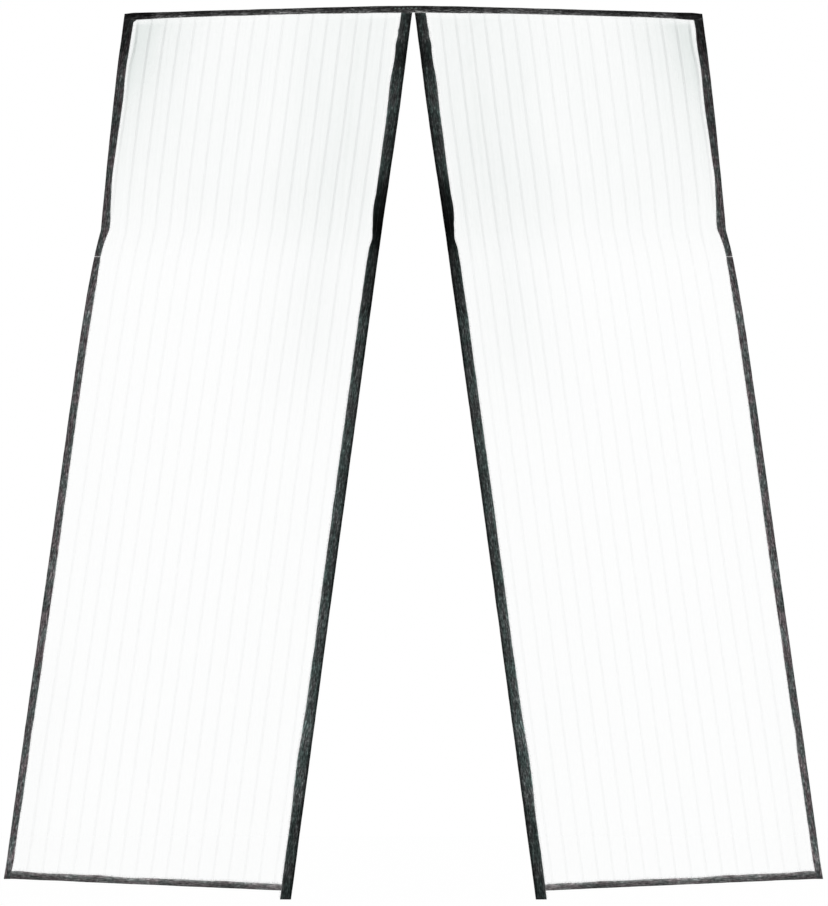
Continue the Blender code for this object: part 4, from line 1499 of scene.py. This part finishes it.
def tape_groups():
    """The tapes that are sewn and frayed together, by group."""
    groups = {"heading": ["heading"]}
    for side_name, _ in SIDES:
        sides = [f"side_{side_name}_upper", f"side_{side_name}_lower"]
        groups[side_name] = sides + [f"hem_{side_name}"]
        groups[f"sleeve_{side_name}"] = [f"sleeve_{side_name}"]
    return groups


def group_slot(group):
    return "sleeve" if group.startswith("sleeve") else "binding"


class SCREEN_OT_fringes(Operator):
    """Frays the free edge of every tape"""

    bl_idname = "screen_dress.fringes"
    bl_label = "Loose fibres"

    REACH = {"heading": 0.0028, "side": 0.0040, "hem": 0.0054, "sleeve": 0.0056}

    def execute(self, context):
        settings = context.scene.screen_tape
        material = sewing_thread("loose_fibre", settings.fibre)
        pattern = cord_pattern()
        values = {"Radius": settings.fibre_radius, "Sides": 3}
        chance = random.Random(11)
        for group, names in tape_groups().items():
            lines = []
            for name in names:
                lines += runs[name].fringe(self.REACH[name.split("_")[0]], chance)
            laid(f"fringe_{group}", lines, pattern, values, material, group_slot(group))
        return {"FINISHED"}


class SCREEN_OT_net_turns(Operator):
    """Turns in the net's edge where the side tapes' two lengths meet"""

    bl_idname = "screen_dress.net_turns"
    bl_label = "Turned net edges"

    def execute(self, context):
        finish = Finish("turned_net")
        weave = finish.noise(finish.object_place(), 900.0, 1.0)
        shade = finish.tint((0.95, 0.955, 0.95), 0.94 + 0.06 * weave)
        material = finish.done(shade, 0.8, weave, 0.00005)
        faces = [(0, 1, 2, 3), (7, 6, 5, 4), (0, 4, 5, 1), (1, 5, 6, 2), (2, 6, 7, 3), (3, 7, 4, 0)]
        for side_name, side in SIDES:
            points = []
            for layer in TURN_LAYERS:
                for up, inwards in ((-1, False), (-1, True), (1, True), (1, False)):
                    drop = SIDE_JOINT_DROP + up * TURN_HALF
                    x = side_inner(drop) + TURN_PAST if inwards else side_edge(drop) - TURN_INSET
                    points.append((side * x, MID_PLANE - layer, -drop))
            turned = faces if side < 0 else [tuple(reversed(face)) for face in faces]
            settle(new_piece(f"net_turn_{side_name}", points, turned, material), "net")
        return {"FINISHED"}


class SCREEN_OT_stitching(Operator):
    """Sews every tape with a row of stitches, and tacks its ends"""

    bl_idname = "screen_dress.stitching"
    bl_label = "Stitching"

    def execute(self, context):
        settings = context.scene.screen_stitch
        thread = sewing_thread("sewing_thread", settings.thread)
        pale = sewing_thread("apex_thread", settings.apex_thread)
        highlight_finish = sewing_thread("bare_thread", settings.bare_thread)
        stitches = stitch_pattern()
        cords = cord_pattern()
        values = {
            "Pitch": settings.pitch,
            "Stitch length": settings.length,
            "Thread radius": settings.radius,
            "Tilt": 0.05,
            "Seed": settings.seed,
        }
        lift = settings.radius * 0.4
        for group, names in tape_groups().items():
            lines = []
            for name in names:
                tape = runs[name]
                for groove in range(len(tape.grooves(0))):
                    for at_front in (True, False):
                        lines.append(tape.seam(groove, at_front, lift))
            laid(f"stitches_{group}", lines, stitches, values, thread, group_slot(group))
        tacks = []
        front = MID_PLANE - TAPE_OUTER - THREAD_PROUD
        for _, side in SIDES:
            for drop in (TACK_TOP_DROP, SLEEVE_END_DROP - TACK_END_RISE):
                first = (side * (gap_edge(drop) + TACK_FROM), -drop)
                last = (side * (gap_edge(drop) + TACK_TO), -drop)
                tacks.append(zigzag(first, last, TACK_REACH, TACK_TURNS, front))
        laid("tacks", tacks, cords, {"Radius": settings.radius, "Sides": 5}, thread)
        y = front - 0.0001
        row = [(x, y, heading_top(x) - APEX_ROW_DROP) for x in spread(*APEX_ROW, 12)]
        laid("stitches_apex", [row], stitches, {**values, **APEX_STITCHES}, pale)
        # A pale cord: a painted highlight along the right sleeve's top edge at the apex.
        y = front - 0.0003
        places = (spread(low, high, 8) for low, high in zip(*APEX_HIGHLIGHT))
        edge = [(x, y, z) for x, z in zip(*places)]
        laid("apex_highlight", [edge], cords, {"Radius": APEX_HIGHLIGHT_RADIUS, "Sides": 6}, highlight_finish)
        return {"FINISHED"}


class SCREEN_OT_magnets(Operator):
    """Gives the bar magnets in the sleeves their finish"""

    bl_idname = "screen_dress.magnets"
    bl_label = "Magnets"

    def execute(self, context):
        material = ferrite()
        for name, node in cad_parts.items():
            if name.startswith(("magnet_left", "magnet_right")):
                node.data.materials.clear()
                node.data.materials.append(material)
        return {"FINISHED"}


def area_lamp(name, place, aim, size, power):
    light = bpy.data.lights.new(name, "AREA")
    light.shape = "RECTANGLE"
    light.size, light.size_y = size
    light.energy = power
    lamp = bpy.data.objects.new(name, light)
    lamp.location = place
    lamp.rotation_euler = (Vector(aim) - Vector(place)).to_track_quat("-Z", "Y").to_euler()
    bpy.context.scene.collection.objects.link(lamp)


def background_ray(graph):
    """1 for a ray that shows the background to the eye, in a mirror or through glass."""
    node = graph.add("ShaderNodeLightPath").socket.node
    kinds = ("Camera", "Glossy", "Transmission")
    seen, mirrored, through = (Value(graph, node.outputs[f"Is {kind} Ray"]) for kind in kinds)
    return seen.most(mirrored).most(through)


class SCREEN_OT_stage(Operator):
    """Sets the floor, the soft lamps, the white surround and the camera"""

    bl_idname = "screen_dress.stage"
    bl_label = "Stage"

    def execute(self, context):
        settings = context.scene.screen_stage
        scene = context.scene
        floor = Finish("floor")
        speck = floor.noise(floor.object_place(), 3.0, 2.0)
        colour = floor.tint(tuple(settings.floor_colour), 0.99 + 0.02 * speck)
        matt = floor.add("ShaderNodeBsdfPrincipled", {}, {"Base Color": colour, "Roughness": 0.9})
        shine = floor.add("ShaderNodeEmission", {}, {"Color": (1.0, 1.0, 1.0), "Strength": 1.0})
        share = background_ray(floor) * FLOOR_GLOW
        mixed = floor.add("ShaderNodeMixShader", {}, {0: share, 1: matt, 2: shine})
        floor.add("ShaderNodeOutputMaterial", {}, {"Surface": mixed})
        corners = [(x, y, -settings.floor_drop) for x, y in FLOOR_CORNERS]
        plane = new_piece("floor", corners, [(0, 1, 2, 3)], floor.material)

        world = bpy.data.worlds.new("surround")
        world.use_nodes = True
        scene.world = world
        sky = Graph(world.node_tree)
        sky.tree.nodes.clear()
        white, dim = (
            sky.add("ShaderNodeBackground", {}, {"Color": (1.0, 1.0, 1.0), "Strength": strength})
            for strength in (1.0, settings.ambient)
        )
        both = sky.add("ShaderNodeMixShader", {}, {0: background_ray(sky), 1: dim, 2: white})
        sky.add("ShaderNodeOutputWorld", {}, {"Surface": both})

        for name, (place, size, share) in LAMPS.items():
            area_lamp(name, place, LAMP_AIM, size, settings.lamp_power * share)

        camera = bpy.data.cameras.new("camera")
        camera.sensor_width = SENSOR
        camera.lens = SENSOR * VIEW_DISTANCE / VIEW_HEIGHT
        eye = bpy.data.objects.new("camera", camera)
        eye.location = (VIEW_CENTRE_X, MID_PLANE - VIEW_DISTANCE, VIEW_CENTRE_Z)
        eye.rotation_euler = (math.pi / 2, 0.0, 0.0)
        scene.collection.objects.link(eye)
        scene.camera = eye
        scene.view_settings.view_transform = "Standard"
        return {"FINISHED"}


class SCREEN_PT_dress(Panel):
    """Lists the pieces of the screen and their sizes"""

    bl_idname = "SCREEN_PT_dress"
    bl_label = "Insect Screen"
    bl_space_type = "VIEW_3D"
    bl_region_type = "UI"
    bl_category = "Insect Screen"

    def draw(self, context):
        for group in SETTINGS:
            box = self.layout.box()
            settings = getattr(context.scene, group)
            for name in settings.__annotations__:
                box.prop(settings, name)
        for operator in OPERATORS:
            self.layout.operator(operator.bl_idname)


SETTINGS = {
    "screen_net": NetSettings,
    "screen_tape": TapeSettings,
    "screen_stitch": StitchSettings,
    "screen_stage": StageSettings,
}
OPERATORS = (
    SCREEN_OT_nets,
    SCREEN_OT_stripes,
    SCREEN_OT_heading,
    SCREEN_OT_sides,
    SCREEN_OT_hems,
    SCREEN_OT_sleeves,
    SCREEN_OT_loop_tapes,
    SCREEN_OT_fringes,
    SCREEN_OT_net_turns,
    SCREEN_OT_stitching,
    SCREEN_OT_magnets,
    SCREEN_OT_stage,
)


def register():
    for kind in (*SETTINGS.values(), *OPERATORS, SCREEN_PT_dress):
        bpy.utils.register_class(kind)
    for name, kind in SETTINGS.items():
        setattr(bpy.types.Scene, name, PointerProperty(type=kind))


def unregister():
    for name in SETTINGS:
        delattr(bpy.types.Scene, name)
    for kind in reversed((*SETTINGS.values(), *OPERATORS, SCREEN_PT_dress)):
        bpy.utils.unregister_class(kind)


def declare_nets():
    """Lists, for each net, the tapes and stripe cords bound to it; nothing is done with the list.
    """
    for side_name, _ in SIDES:
        bound = [f"side_tape_{side_name}_upper", f"side_tape_{side_name}_lower"]
        bound += [f"hem_tape_{side_name}", f"sleeve_{side_name}", f"stripe_cords_{side_name}"]


def main():
    register()
    for operator in OPERATORS:
        group, name = operator.bl_idname.split(".")
        getattr(getattr(bpy.ops, group), name)()
    declare_nets()


if __name__ == "__main__":
    main()
